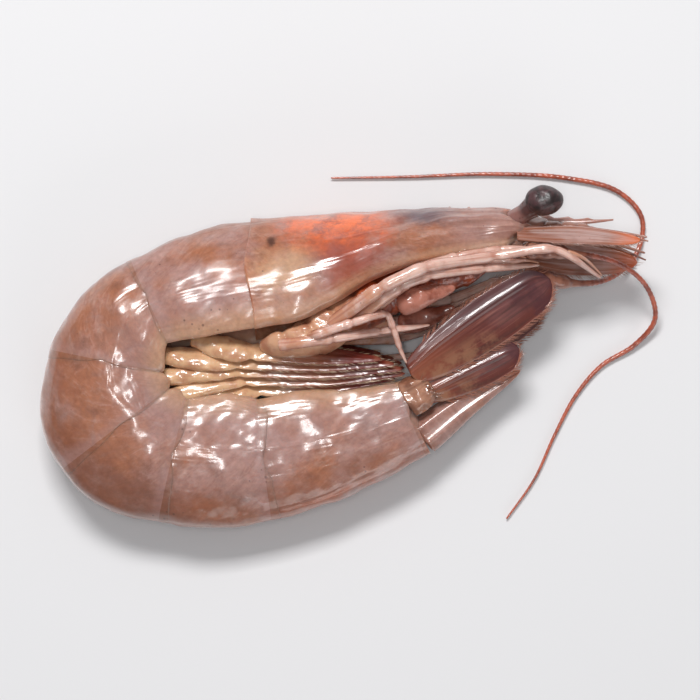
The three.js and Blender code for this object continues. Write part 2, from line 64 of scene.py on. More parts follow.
MM = 0.001
UP = np.array([0.0, 0.0, 1.0])
scene = bpy.context.scene

# --- driving dimensions

# The neck joins the head shell to the first tail segment.
NECK = dict(x=-10.85, y=10.85, z=7.35, heading=183, roll=25, back=9.6, belly=9.5, half_width=7.0)

# Tail segments from front to rear, with the measures of each one's rear edge.
SOMITES = [
    dict(length=15.8, turn=22, back=7.9, belly=7.5, half_width=6.9, roll=17, z=7.0),
    dict(length=10.5, turn=54, back=9.2, belly=8.7, half_width=6.9, roll=8, z=6.75),
    dict(length=9.5, turn=48, back=12.0, belly=8.7, half_width=6.8, roll=2, z=6.6),
    dict(length=8.8, turn=40, back=10.6, belly=8.9, half_width=6.5, roll=0, z=6.3),
    dict(length=13.3, turn=20, back=9.4, belly=9.2, half_width=5.8, roll=0, z=5.9),
    dict(length=22.4, turn=16, back=6.0, belly=6.0, half_width=3.9, roll=0, z=6.0),
]

# The head shell by distance forward of the neck.
HEAD_HEADING = 3
HEAD_TILT = 3
HEAD_LENGTH = 41
HEAD_BACK = [(0, 9.6), (10, 9.8), (22, 9.8), (32, 9.7), (38, 9.1), (41, 8.2)]
HEAD_BELLY = [(0, 9.5), (5, 9.1), (10, 7.2), (17, 3.0), (22, 1.0), (30, -0.8), (35, -1.7), (41, -3.0)]
HEAD_HALF_WIDTH = [(0, 7.0), (10, 7.5), (20, 7.1), (30, 5.6), (37, 4.2), (41, 3.0)]

ROSTRUM = dict(start=27, tip=53, tip_rise=7.1, depth=3.4, half_thickness=0.7, teeth=8, tooth=0.8)

# One side of each cross-section, from the back's middle line to the belly's, as (right, rise) shares.
TAIL_SECTION = [
    (0, 1), (0.5, 0.9), (0.87, 0.5), (1, 0), (0.95, -0.45),
    (0.76, -0.85), (0.56, -1), (0.4, -0.8), (0, -0.62),
]
HEAD_SECTION = [
    (0, 1), (0.36, 0.93), (0.76, 0.6), (0.97, 0.12), (1, -0.35),
    (0.85, -0.8), (0.62, -1), (0.46, -0.84), (0, -0.7),
]

SHELL = 0.13  # how thick a plate is at its free edge
DRAWN_IN = 0.3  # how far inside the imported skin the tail's plates start, to leave room for relief
FLOOR_GAP = 0.02  # how near to the floor a surface may come
TINY = 0.0004  # the square of the size, as a share, of the ring that closes a dome
SIDES = (("right", 1), ("left", -1))


# --- curves and frames


def ramp(x, low, high):
    """0 below low and 1 above high, with a smooth step between; the two may be swapped."""
    t = np.clip((x - low) / (high - low), 0, 1)
    return t * t * (3 - 2 * t)


def bump(x, middle, width):
    """A smooth bump of height 1."""
    return np.exp(-(((x - middle) / width) ** 2))


def unit(v):
    return v / np.linalg.norm(v, axis=-1, keepdims=True)


def turns(sides):
    """Angles evenly spread round a ring."""
    return 2 * np.pi * np.arange(sides) / sides


def hermite(t, a, b, step, start, end):
    """The curve from a to b as t goes from 0 to 1 over this step, with these slopes at its ends."""
    s = 1 - t
    return a * s * s * (1 + 2 * t) + b * t * t * (3 - 2 * t) + step * t * s * (start * s - end * t)


def through(stations):
    """A smooth function through (position, value) stations."""
    xs, ys = np.array(stations, float).T
    places = np.arange(len(xs))
    before, after = np.maximum(places - 1, 0), np.minimum(places + 1, places[-1])
    slopes = (ys[after] - ys[before]) / (xs[after] - xs[before])

    def value(x):
        i = np.clip(np.searchsorted(xs, x) - 1, 0, len(xs) - 2)
        step = xs[i + 1] - xs[i]
        t = np.clip((x - xs[i]) / step, 0, 1)
        return hermite(t, ys[i], ys[i + 1], step, slopes[i], slopes[i + 1])

    return value


def axes_of(heading, roll, back_sign, tilt=0.0):
    """Unit vectors along the body, towards its back and to its right."""
    heading, roll = np.radians(heading), np.radians(roll)
    flat_back = back_sign * np.stack([-np.sin(heading), np.cos(heading), 0 * heading], -1)
    cos, sin = np.cos(roll)[..., None], np.sin(roll)[..., None]
    along = np.stack([np.cos(heading), np.sin(heading), np.tan(np.radians(tilt)) + 0 * heading], -1)
    return unit(along), flat_back * cos - UP * sin, UP * cos + flat_back * sin


HEAD_ALONG, HEAD_UP, HEAD_RIGHT = axes_of(HEAD_HEADING, NECK["roll"], 1, HEAD_TILT)
NECK_POINT = np.array([NECK["x"], NECK["y"], NECK["z"]])


def in_head(forward, rise, right):
    """Points by distance forward of the neck, towards the back and to the right."""
    forward, rise, right = (x[..., None] for x in np.broadcast_arrays(forward, rise, right))
    return NECK_POINT + forward * HEAD_ALONG + rise * HEAD_UP + right * HEAD_RIGHT


def walk_tail():
    """The joints between tail segments, each reached along one arc."""
    joints = [NECK]
    for somite in SOMITES:
        last = joints[-1]
        a = np.radians(last["heading"])
        b = a + np.radians(somite["turn"])
        radius = somite["length"] / (b - a)
        joints.append({
            **somite,
            "heading": last["heading"] + somite["turn"],
            "x": last["x"] + radius * (np.sin(b) - np.sin(a)),
            "y": last["y"] - radius * (np.cos(b) - np.cos(a)),
        })
    return joints


JOINTS = walk_tail()
TAIL = {
    key: through([(i, joint[key]) for i, joint in enumerate(JOINTS)])
    for key in ("back", "belly", "half_width", "roll", "z")
}


def tail_frame(s):
    """The middle and the axes at position s of the tail, where a whole number is a joint."""
    i = np.clip(np.floor(s).astype(int), 0, len(SOMITES) - 1)

    def pick(rows, key):
        return np.array([row[key] for row in rows])[i]

    start, turn = np.radians(pick(JOINTS, "heading")), np.radians(pick(SOMITES, "turn"))
    radius = pick(SOMITES, "length") / turn
    heading = start + turn * (s - i)
    x = pick(JOINTS, "x") + radius * (np.sin(heading) - np.sin(start))
    y = pick(JOINTS, "y") - radius * (np.cos(heading) - np.cos(start))
    return np.stack([x, y, TAIL["z"](s)], -1), axes_of(np.degrees(heading), TAIL["roll"](s), -1)


TAIL_END, (FAN_ALONG, FAN_BACK, FAN_RIGHT) = tail_frame(len(SOMITES))


def in_fan(behind, rise, right):
    """A point behind the last joint, towards the back and to the right of it."""
    return TAIL_END + behind * FAN_ALONG + rise * FAN_BACK + right * FAN_RIGHT


def section(half, around):
    """The closed cross-section curve, as right and rise shares, at around from 0 to below 1."""
    left = [(-right, rise) for right, rise in reversed(half[1:-1])]
    points = np.array([*half, *left], float)
    t = around * len(points)
    i = np.floor(t).astype(int)
    t = (t - i)[..., None]
    a, b, c, d = (points[(i + k) % len(points)] for k in (-1, 0, 1, 2))
    curve = hermite(t, b, c, 1, (c - a) / 2, (d - b) / 2)
    return curve[..., 0], curve[..., 1]


def on_floor(points):
    """The points, with what would pass the floor lying flat on it."""
    points = points.copy()
    points[..., 2] = np.maximum(points[..., 2], FLOOR_GAP)
    return points


def tail_skin(s, right, rise, inset, sag):
    """Points of the tail's surface, drawn in by inset; sag lowers the side plates."""
    centre, (_, back, side) = tail_frame(s)
    height = rise * np.where(rise > 0, TAIL["back"](s) - inset, TAIL["belly"](s) + sag - inset)
    width = right * (TAIL["half_width"](s) - inset)
    return on_floor(centre + back * height[..., None] + side * width[..., None])


head_back, head_belly, head_half_width = (through(x) for x in (HEAD_BACK, HEAD_BELLY, HEAD_HALF_WIDTH))


def head_skin(forward, right, rise, inset):
    """Points of the head shell. Its widest level rises with the belly line towards the front."""
    back, belly = head_back(forward), head_belly(forward)
    waist = ramp(forward, 4, 30) * (back - belly) / 2
    height = np.where(rise > 0, back - waist - inset, belly + waist - inset)
    return on_floor(in_head(forward, waist + rise * height, right * (head_half_width(forward) - inset)))


def wobble(points, size, seed):
    """Smooth unevenness from about -1 to 1 with swells of about that size."""
    rng = np.random.default_rng(seed)
    total = 0
    for direction in unit(rng.normal(size=(8, 3))):
        wave = rng.uniform(0.7, 1.5) * 2 * np.pi / size
        total = total + np.sin(points @ direction * wave + rng.uniform(0, 2 * np.pi))
    return total / 3


def uneven(points, height, size, seed, direction):
    """The points, moved to and fro along a direction by smooth unevenness."""
    return points + (height * wobble(points, size, seed))[..., None] * direction


# --- paths, tubes and hairs


def sample(where, places, rows):
    """The rows, which belong to these places, at other places."""
    return np.stack([np.interp(where, places, column) for column in rows.T], -1)


def smooth_path(points, count):
    """Points evenly spread along a centripetal curve through the given ones."""
    points = np.array(points, float)
    points = np.vstack([2 * points[0] - points[1], points, 2 * points[-1] - points[-2]])
    gaps = np.linalg.norm(np.diff(points, axis=0), axis=1) ** 0.5
    found = []
    for i in range(1, len(points) - 2):
        a, b, c, d = points[i - 1 : i + 3]
        g, h, k = gaps[i - 1 : i + 2]
        start = (b - a) / g - (c - a) / (g + h) + (c - b) / h
        end = (c - b) / h - (d - b) / (h + k) + (d - c) / k
        found.append(hermite(np.linspace(0, 1, 24, endpoint=False)[:, None], b, c, h, start, end))
    line = np.vstack([*found, points[-2:-1]])
    reached = np.concatenate([[0], np.cumsum(np.linalg.norm(np.diff(line, axis=0), axis=1))])
    return sample(np.linspace(0, reached[-1], count), reached, line)


def path_in(place, stops, count, sign=1):
    """A smooth path through stops by in_head's or in_fan's measures; sign -1 mirrors it to the left."""
    return smooth_path([place(a, b, c * sign) for a, b, c in stops], count)


def length_of(path):
    return np.linalg.norm(np.diff(path, axis=0), axis=1).sum()


def shares(path):
    """How far along a path each of its points is, from 0 to 1."""
    return np.linspace(0, 1, len(path))


def rounded(t, length, start, end):
    """Closes a tube's ends to domes of these lengths, each of them down to a tiny ring."""
    near, far = np.clip([t * length / start, (1 - t) * length / end], 0, 1)
    return np.sqrt(np.clip(1 - (1 - near) ** 2, TINY, 1) * np.clip(1 - (1 - far) ** 2, TINY, 1))


def tube(path, width, thickness, sides, up=UP, relief=None):
    """A grid round a path. width and thickness are half sizes along it, and relief(t, angle) adds to
    the thickness."""
    tangent = unit(np.gradient(path, axis=0))
    side = unit(np.cross(tangent, up))
    over = np.cross(side, tangent)
    angle = turns(sides)
    rise = np.sin(angle) * thickness[:, None]
    if relief is not None:
        rise = rise + relief(shares(path)[:, None], angle[None, :])
    out = np.cos(angle) * width[:, None]
    return path[:, None] + side[:, None] * out[..., None] + over[:, None] * rise[..., None]


def loft(path, width, thickness, ends, sides, factor=1.0, **settings):
    """A tube whose half sizes go through (share of the path, size) stations, times factor, and whose
    ends close as rounded says."""
    t = shares(path)
    factor = factor * rounded(t, *ends)
    return tube(path, through(width)(t) * factor, through(thickness)(t) * factor, sides, **settings)


def grid_faces(rings, sides):
    """The four-sided faces between rings of points that close on themselves."""
    ring, side = np.mgrid[: rings - 1, :sides]
    a = ring * sides + side
    b = ring * sides + (side + 1) % sides
    return np.stack([a, b, b + sides, a + sides], -1).reshape(-1, 4)


def put_in_scene(name, data):
    made = bpy.data.objects.new(name, data)
    scene.collection.objects.link(made)
    return made


class Build:
    """Collects surfaces and makes one mesh piece of them."""

    MARKS = ("along", "rise", "right", "level", "inside", "hair")

    def __init__(self):
        self.points, self.faces, self.marks, self.count = [], [], {name: [] for name in self.MARKS}, 0

    def add(self, points, faces, **marks):
        points = on_floor(points.reshape(-1, 3))
        self.faces += [[v + self.count for v in face] for face in faces]
        self.points.append(points)
        self.count += len(points)
        for name, found in self.marks.items():
            found.append(np.broadcast_to(np.ravel(marks.get(name, 0.0)), len(points)))
        return self

    def grid(self, points, caps=True, **marks):
        """A surface through rings of points; caps close its two ends."""
        rings, sides = points.shape[:2]
        marks = {name: np.broadcast_to(value, (rings, sides)).copy() for name, value in marks.items()}
        faces = grid_faces(rings, sides).tolist()
        if not caps:
            return self.add(points, faces, **marks)
        last = (rings - 1) * sides
        middle = rings * sides
        for k in range(sides):
            following = (k + 1) % sides
            faces.append([middle, following, k])
            faces.append([middle + 1, last + k, last + following])
        ends = [points[0].mean(0), points[-1].mean(0)]
        marks = {name: np.append(m, [m[0].mean(), m[-1].mean()]) for name, m in marks.items()}
        return self.add(np.vstack([points.reshape(-1, 3), ends]), faces, **marks)

    def hairs(self, roots, directions, lengths, radius, **marks):
        """Fine tapered hairs with three sides."""
        t = np.array([0, 0.4, 0.75, 1.0])
        thick = radius * np.array([1, 0.85, 0.55, 0.06])
        directions = unit(directions)
        side = unit(np.cross(directions, UP + 0.01))
        over = np.cross(side, directions)
        angle = turns(3)[:, None]
        ring = side[:, None] * np.cos(angle) + over[:, None] * np.sin(angle)
        line = roots[:, None] + directions[:, None] * (lengths[:, None] * t)[..., None]
        points = line[:, :, None] + ring[:, None] * thick[None, :, None, None]
        one = grid_faces(len(t), 3)
        faces = (one[None] + 3 * len(t) * np.arange(len(roots))[:, None, None]).reshape(-1, 4)
        return self.add(points, faces.tolist(), hair=1.0, **marks)

    def fringe(self, edge, middle, per_mm, length, radius, seed, sweep):
        """Hairs along an edge line, away from the blade's middle line and swept along the edge."""
        rng = np.random.default_rng(seed)
        count = int(length_of(edge) * per_mm)
        places = np.arange(len(edge))
        where = np.sort(rng.uniform(0, len(edge) - 1, count))
        outward = sample(where, places, unit(edge - middle))
        tangent = sample(where, places, unit(np.gradient(edge, axis=0)))
        direction = outward + sweep * tangent + 0.12 * rng.normal(size=(count, 3))
        lengths = length * rng.uniform(0.65, 1.1, count)
        return self.hairs(sample(where, places, edge), direction, lengths, radius)

    def piece(self, node, part, material, slot, name=None):
        """Makes the piece that stands for a node. Its name is the node's and the part's, unless given."""
        name = name or f"{node}_{part}"
        mesh = bpy.data.meshes.new(name)
        mesh.from_pydata((np.vstack(self.points) + ORIGIN) * MM, [], self.faces)
        for mark, values in self.marks.items():
            data = np.concatenate(values).astype(np.float32)
            mesh.attributes.new(mark, "FLOAT", "POINT").data.foreach_set("value", data)
        mesh.materials.append(material)
        mesh.shade_smooth()
        mesh.update()
        made = put_in_scene(name, mesh)
        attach(made, "root")
        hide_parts(node)


# --- finishes


def srgb(red, green, blue):
    """A colour by its display values from 0 to 255."""
    shown = np.array([red, green, blue]) / 255
    linear = np.where(shown <= 0.04045, shown / 12.92, ((shown + 0.055) / 1.055) ** 2.4)
    return (*linear, 1.0)


# Colours of the flesh and shell before the light falls on them.
TAN = srgb(176, 114, 84)
BROWN = srgb(128, 76, 54)
ROSE_GREY = srgb(178, 136, 126)
LILAC_GREY = srgb(178, 142, 138)
CLEAR_GREY = srgb(146, 118, 112)
MILKY = srgb(204, 166, 152)
ORANGE = srgb(242, 118, 58)
DEEP_ORANGE = srgb(160, 62, 38)
RUST = srgb(146, 84, 54)
SLATE = srgb(92, 70, 80)
DARK = srgb(58, 32, 26)
LEG_PALE = srgb(226, 188, 174)
LEG_RED = srgb(178, 114, 92)
MAROON = srgb(98, 38, 28)
FAN_GREY = srgb(126, 80, 80)
FAN_ROOT = srgb(150, 76, 46)
FAN_TAN = srgb(158, 112, 82)
PLUM = srgb(72, 28, 36)
CREAM = srgb(216, 172, 132)
EYE_BLACK = srgb(34, 18, 18)

RISE_MM = 9.0  # what one unit of the rise mark is worth
LIMB_MM = 24.0  # a limb's usual length, for which its along mark goes from 0 to 1


class Finish:
    """A material's node tree. paint lays colours over its base, and what the other methods add to the
    tree they return as output sockets."""

    def __init__(self, name, base=None):
        self.material = bpy.data.materials.new(name)
        self.material.use_nodes = True
        self.nodes, self.links = self.material.node_tree.nodes, self.material.node_tree.links
        self.shader = self.nodes["Principled BSDF"]
        self.base = base
        place = self.node("TexCoord", output="Object")
        self.mm = self.node("VectorMath", {0: place, 3: 1 / MM}, operation="SCALE")

    def node(self, kind, inputs=None, output=0, **settings):
        made = self.nodes.new(f"ShaderNode{kind}")
        for name, value in settings.items():
            setattr(made, name, value)
        for key, value in (inputs or {}).items():
            self.put(made.inputs[key], value)
        return made.outputs[output]

    def put(self, socket, value):
        if isinstance(value, bpy.types.NodeSocket):
            self.links.new(value, socket)
        else:
            socket.default_value = value

    def math(self, operation, a, b=0.0):
        return self.node("Math", {0: a, 1: b}, operation=operation)

    def product(self, first, *others):
        for other in others:
            first = self.math("MULTIPLY", first, other)
        return first

    def mix(self, share, a, b):
        return self.node("Mix", {0: share, 6: a, 7: b}, 2, data_type="RGBA")

    def paint(self, colour, *masks):
        """Lays a colour over the base, as strong as the masks' product."""
        self.base = self.mix(self.product(*masks), self.base, colour)

    def mark(self, name):
        return self.node("Attribute", output="Fac", attribute_name=name)

    def ramp(self, value, low, high):
        return self.node("MapRange", {0: value, 1: low, 2: high}, interpolation_type="SMOOTHSTEP")

    def flat(self, x, y):
        return self.node("CombineXYZ", {0: x, 1: y})

    def noise(self, size, detail=3.0, roughness=0.5, distortion=0.0, place=None):
        place = self.mm if place is None else place
        inputs = {"Vector": place, "Scale": 1 / size, "Detail": detail}
        return self.node("TexNoise", {**inputs, "Roughness": roughness, "Distortion": distortion})

    def cells(self, size):
        """How far a place is from the middle of its cell, in cells of about that size."""
        return self.node("TexVoronoi", {"Vector": self.mm, "Scale": 1 / size}, "Distance")

    def mottled(self, size, detail, colour, other):
        """Two colours in patches."""
        return self.mix(self.ramp(self.noise(size, detail), 0.4, 0.65), colour, other)

    def fibres(self, pitch, along_mm):
        """Muscle that runs obliquely across the along and rise marks, with strands of that width."""
        x = self.product(self.mark("along"), along_mm / pitch)
        y = self.product(self.mark("rise"), RISE_MM / pitch)
        down = self.product(self.math("SUBTRACT", x, y), 0.3)
        return self.noise(1.0, 4.0, 0.6, 1.2, self.flat(self.math("ADD", x, y), down))

    def streaks(self, length, width, along_mm, across_mm, detail=3.0, across="rise"):
        """Noise stretched along the surface: each swell is about that long and wide in mm."""
        x = self.product(self.mark("along"), along_mm / length)
        y = self.product(self.mark(across), across_mm / width)
        return self.noise(1.0, detail, 0.5, 0.6, self.flat(x, y))

    def specks(self, size, share):
        """Small dark dots about a cell apart; share is how large the dots are."""
        grown = self.product(self.ramp(self.noise(size * 5), 0.45, 0.75), share)
        return self.ramp(self.math("SUBTRACT", grown, self.cells(size)), 0.0, 0.1)

    def spot(self, along, level, size_along, size_level, blur=0.6, ragged=0.9, level_mark="level"):
        """1 at one place of a surface by its marks, with a ragged soft edge."""
        x = self.math("DIVIDE", self.math("SUBTRACT", self.mark("along"), along), size_along)
        y = self.math("DIVIDE", self.math("SUBTRACT", self.mark(level_mark), level), size_level)
        away = self.math("SQRT", self.math("ADD", self.product(x, x), self.product(y, y)))
        rough = self.product(self.math("SUBTRACT", self.noise(2.6, 5.0, 0.65), 0.5), ragged * 2)
        return self.ramp(self.math("ADD", away, rough), 1 + blur, 1 - blur)

    def height(self, *layers):
        """The normal for bumps given as (height socket, depth in mm)."""
        inputs = {"Strength": 1.0}
        for value, depth in layers:
            inputs.update({"Height": value, "Distance": depth * MM})
            inputs["Normal"] = self.node("Bump", inputs)
        return inputs["Normal"]

    def finish(self, roughness, normal, film, wet=1.0, inner=0.0, depth=2.0, sheen=0.0):
        """Sets the shader: film is the roughness of the water film and wet its strength, inner the share
        of light that spreads inside and sheen the milky veil of skin seen edge on."""
        for name, value in {
            "Base Color": self.base,
            "Roughness": roughness,
            "Normal": normal,
            "Coat Weight": wet,
            "Coat Roughness": film,
            "Coat IOR": 1.45,
            "Coat Normal": normal,
            "Sheen Weight": sheen,
            "Sheen Roughness": 0.4,
            "Sheen Tint": MILKY,
            "Subsurface Weight": inner,
            "Subsurface Radius": (1.0, 0.5, 0.35),
            "Subsurface Scale": depth * MM,
        }.items():
            self.put(self.shader.inputs[name], value)
        return self.material


def plate_finish(name, along_mm, show_through_and_shade, dry, wetter):
    """The half clear shell over mottled muscle. The painting function it is given paints what else shows
    through the shell and, on the tail, some painted shade.
    The wet film is as weak as dry, and grows to full strength over a range of the along mark."""
    f = Finish(name, TAN)
    f.paint(ROSE_GREY, f.ramp(f.noise(9.0, 4.0, 0.55), 0.38, 0.6))
    f.paint(CLEAR_GREY, f.ramp(f.noise(6.0, 5.0, 0.6, 0.8), 0.52, 0.72), 0.55)
    fibres = f.fibres(1.3, along_mm)
    f.paint(BROWN, f.ramp(fibres, 0.45, 0.8), 0.45)
    f.paint(MILKY, f.ramp(fibres, 0.5, 0.25), 0.35)
    f.paint(BROWN, f.ramp(f.noise(3.2, 6.0, 0.7), 0.46, 0.76), 0.7)
    f.paint(MILKY, f.ramp(f.noise(2.2, 6.0, 0.7), 0.54, 0.76), 0.4)
    show_through_and_shade(f)
    f.paint(DARK, f.ramp(f.noise(0.7, 3.0, 0.6), 0.3, 0.7), 0.16)
    f.paint(DARK, f.specks(1.1, 0.26), 0.5)
    # Painted shade: the rings that face inwards, in the recess under the plate's rear lip, turn brown.
    f.paint(BROWN, f.ramp(f.mark("inside"), 0.9, 1.0))
    long_swells, short_swells = f.streaks(12.0, 3.0, along_mm, RISE_MM, 2.0), f.noise(5.0, 1.0)
    normal = f.height((long_swells, 0.3), (short_swells, 0.12), (f.noise(1.6, 2.0, 0.5), 0.03))
    wet = f.math("ADD", dry, f.product(f.ramp(f.mark("along"), *wetter), 1 - dry))
    return f.finish(0.28, normal, 0.14, wet=wet, inner=0.5, depth=1.6, sheen=0.3)


def tail_colours_and_shade(f):
    """The back is browner in patches, partly its own tone and partly painted shade on the curl's outer side,
    with a painted shade spot on the fourth segment; the side plates are greyer and the back's rim is clear
    over the first segments.
    """
    rise, along = f.mark("rise"), f.mark("along")
    f.paint(LILAC_GREY, f.ramp(rise, 0.3, -0.6), 0.45)
    patches = f.ramp(f.noise(5.0, 4.0, 0.6), 0.34, 0.6)
    # Rust patches on the back: partly the back's own browner tone, partly painted shade on the outer side of
    # the curl.
    f.paint(RUST, f.ramp(rise, 0.2, 0.8), f.ramp(along, 1.2, 2.6), patches, 0.8)
    # Painted shade: a darker spot on the fourth segment's back, where the outer side of the curl turns away
    # from the light.
    f.paint(BROWN, f.spot(3.5, 0.85, 0.7, 0.5, level_mark="rise"), 0.6)
    first = f.ramp(f.math("ADD", along, f.noise(4.0)), 3.2, 1.4)
    f.paint(CLEAR_GREY, f.ramp(rise, 0.74, 0.98), first, 0.6)
    patches = f.ramp(f.noise(5.0, 4.0), 0.35, 0.65)
    f.paint(ORANGE, f.ramp(rise, 0.7, 1.0), f.ramp(along, 4.4, 5.6), patches, 0.4)
    f.paint(CREAM, f.ramp(rise, -0.5, -1.0), 0.55)
    behind = f.math("FRACT", along)
    f.paint(BROWN, f.ramp(behind, 0.12, 0.0), 0.25)
    f.paint(LILAC_GREY, f.ramp(behind, 0.84, 0.97), 0.35)


def under_head_shell(f):
    """Organs that show through: an orange one behind the middle and a slate one ahead of it."""
    along, rise = f.mark("along"), f.mark("rise")
    f.paint(DEEP_ORANGE, f.spot(13.5, 1.0, 5.0, 6.0), 0.75)
    under_back = f.math("SUBTRACT", 1.0, f.product(f.ramp(f.mark("right"), 0.7, 0.25), 0.75))
    organ = f.product(f.spot(12.0, 7.4, 8.0, 5.2, 0.7, 0.8), under_back, f.ramp(along, 0.5, 6.5))
    f.paint(DEEP_ORANGE, organ, 0.5)
    f.paint(ORANGE, organ, f.ramp(f.noise(3.0, 5.0, 0.7), 0.3, 0.56))
    f.paint(SLATE, f.spot(25.5, 6.8, 5.5, 2.6), 0.9)
    f.paint(CREAM, f.spot(4.0, -2.0, 4.5, 3.2), 0.6)
    f.paint(DARK, f.spot(2.5, 3.0, 0.7, 1.0), 0.8)
    front = f.ramp(along, 25.0, 31.0)
    strands = f.streaks(10.0, 1.1, 1.0, 6.0, 4.0)
    f.paint(ROSE_GREY, front, 0.55)
    f.paint(BROWN, front, f.ramp(strands, 0.48, 0.72), 0.6)
    f.paint(MILKY, front, f.ramp(strands, 0.46, 0.3), 0.5)
    f.paint(CREAM, f.ramp(rise, -0.6, -0.95), 0.4)


def limb_finish(name, colour, shade, mottle, root=None, tip=None, lumps=0.14, wet=1.0):
    """A wet limb. shade shows in blotches, streaks and joints and as painted shade along the limb's sides,
    and root and tip are the colours of its ends.
    """
    f = Finish(name, colour)
    f.paint(shade, f.ramp(f.noise(2.4, 4.0, 0.6), 0.42, 0.68), mottle)
    if root:
        f.paint(root, f.ramp(f.math("ADD", f.mark("along"), f.noise(2.0)), 0.8, 0.55))
    if tip:
        f.paint(tip, f.ramp(f.mark("along"), 0.3, 0.62))
    f.paint(shade, f.ramp(f.streaks(9.0, 0.35, LIMB_MM, 0.8, 4.0, across="right"), 0.48, 0.66), 0.6)
    # Painted shade: the limb darkens towards its two sides, so it looks round.
    f.paint(shade, f.ramp(f.math("ABSOLUTE", f.mark("right")), 0.55, 1.0), 0.55)
    f.paint(shade, f.mark("inside"), 0.8)
    f.paint(DARK, f.specks(0.8, 0.25), 0.4)
    normal = f.height((f.noise(1.8, 2.0), lumps), (f.noise(0.5, 1.0), 0.006))
    return f.finish(0.25, normal, 0.06, wet=wet, inner=0.3, depth=0.8)


def fan_finish():
    """Streaky maroon blades, rust at the foot and tan on the inner half, with a plum rib and tip."""
    f = Finish("fan", MAROON)
    across, along = f.mark("rise"), f.mark("along")
    edge = f.math("ABSOLUTE", across)
    grain = f.streaks(12.0, 0.6, 24.0, 3.8)
    f.paint(FAN_GREY, f.ramp(edge, 0.75, 0.2), f.ramp(along, 0.4, 0.65), 0.5)
    f.paint(MAROON, f.ramp(f.noise(4.5, 4.0, 0.6), 0.42, 0.66), 0.6)
    f.paint(DARK, f.ramp(grain, 0.42, 0.7), 0.6)
    f.paint(LEG_RED, f.ramp(grain, 0.44, 0.25), 0.45)
    f.paint(LEG_RED, f.ramp(edge, 0.93, 1.0), 0.6)
    f.paint(FAN_ROOT, f.ramp(along, 0.5, 0.0), 0.7)
    mottles = f.ramp(f.noise(2.6, 5.0, 0.65), 0.42, 0.62)
    f.paint(FAN_TAN, f.ramp(across, 0.2, -0.6), f.ramp(along, 0.8, 0.3), mottles, 0.6)
    f.paint(PLUM, f.ramp(across, 0.3, 0.75), 0.6)
    f.paint(PLUM, f.ramp(f.math("ADD", along, f.noise(3.0)), 1.25, 1.5), 0.7)
    f.paint(LEG_RED, f.mark("hair"), 0.8)
    normal = f.height((f.noise(5.0, 1.0), 0.2), (grain, 0.03))
    return f.finish(0.35, normal, 0.07, wet=0.7, inner=0.1, depth=0.5)


def flesh_finish():
    """Pale at the roots of the legs and dark orange-brown towards the mouth."""
    f = Finish("flesh")
    f.base = f.mottled(2.8, 4.0, srgb(214, 164, 130), srgb(180, 120, 92))
    dark = f.mottled(2.4, 4.0, srgb(176, 78, 40), srgb(116, 46, 26))
    f.paint(dark, f.ramp(f.mark("along"), 0.28, 0.5))
    normal = f.height((f.noise(2.0, 3.0), 0.3), (f.noise(0.5, 1.0), 0.008))
    return f.finish(0.3, normal, 0.08, inner=0.2, depth=1.0)


def scale_finish():
    """A streaky leaf, brown and rose, that turns orange at its tip."""
    f = Finish("scale", ROSE_GREY)
    strands = f.streaks(14.0, 0.7, 20.0, 2.6, 4.0)
    f.paint(RUST, f.ramp(strands, 0.36, 0.62))
    f.paint(BROWN, f.ramp(f.noise(3.0, 4.0), 0.45, 0.7), 0.6)
    f.paint(BROWN, f.ramp(f.math("ABSOLUTE", f.mark("rise")), 0.75, 1.0), 0.6)
    f.paint(ORANGE, f.ramp(f.mark("along"), 0.7, 0.97), 0.5)
    f.paint(DARK, f.specks(0.9, 0.3), 0.6)
    normal = f.height((f.noise(3.0, 2.0), 0.2), (strands, 0.04))
    return f.finish(0.36, normal, 0.16, wet=0.8, inner=0.25, depth=0.7)


def feeler_finish():
    """A tan foot that turns to a dark red whip."""
    f = Finish("feeler")
    f.base = f.mottled(1.6, 3.0, srgb(160, 104, 82), srgb(112, 62, 48))
    whip = f.mottled(1.6, 3.0, srgb(184, 88, 60), srgb(140, 62, 42))
    f.paint(whip, f.ramp(f.mark("along"), 0.1, 0.2))
    return f.finish(0.3, f.height((f.noise(1.2, 2.0), 0.1)), 0.1, inner=0.1, depth=0.5)


def eye_finish():
    """A dull dark ball, as its skin has dried and wrinkled."""
    f = Finish("eye", EYE_BLACK)
    f.paint(srgb(78, 48, 50), f.ramp(f.noise(1.6, 4.0, 0.6, 1.0), 0.4, 0.66))
    normal = f.height((f.noise(1.8, 3.0), 0.25), (f.cells(0.16), 0.008))
    return f.finish(0.45, normal, 0.3, wet=0.4)


shell_look = plate_finish("shell", 12.0, tail_colours_and_shade, dry=0.3, wetter=(0.7, 1.7))
head_look = plate_finish("head_shell", 1.0, under_head_shell, dry=0.25, wetter=(2.0, 9.0))
leg_look = limb_finish("leg", LEG_PALE, LEG_RED, 0.5, root=srgb(204, 148, 120))
flesh_look = flesh_finish()
palp_look = limb_finish("palp", srgb(180, 116, 98), srgb(126, 62, 44), 0.9, wet=0.3)
stalk_look = limb_finish("stalk", srgb(158, 112, 96), srgb(98, 56, 48), 0.9)
cup_look = limb_finish("cup", srgb(140, 96, 88), srgb(82, 48, 46), 0.9, tip=srgb(70, 42, 42))
scale_look = scale_finish()
knob_look = limb_finish("knob", srgb(184, 134, 108), srgb(126, 78, 58), 0.9, lumps=0.25)
feeler_look = feeler_finish()
swimmeret_look = limb_finish("swimmeret", CREAM, srgb(176, 118, 88), 0.7, tip=srgb(112, 44, 36), lumps=0.12)
fan_look = fan_finish()
eye_look = eye_finish()

# --- where the frame's origin is

EYES = dict(right=(42.7, 7.8, 5.8, (38.4, 6.6, 2.4)), left=(42.2, 7.4, -4.6, (38.4, 6.6, -2.4)))
EYE_HALF = (2.8, 2.25, 2.3)

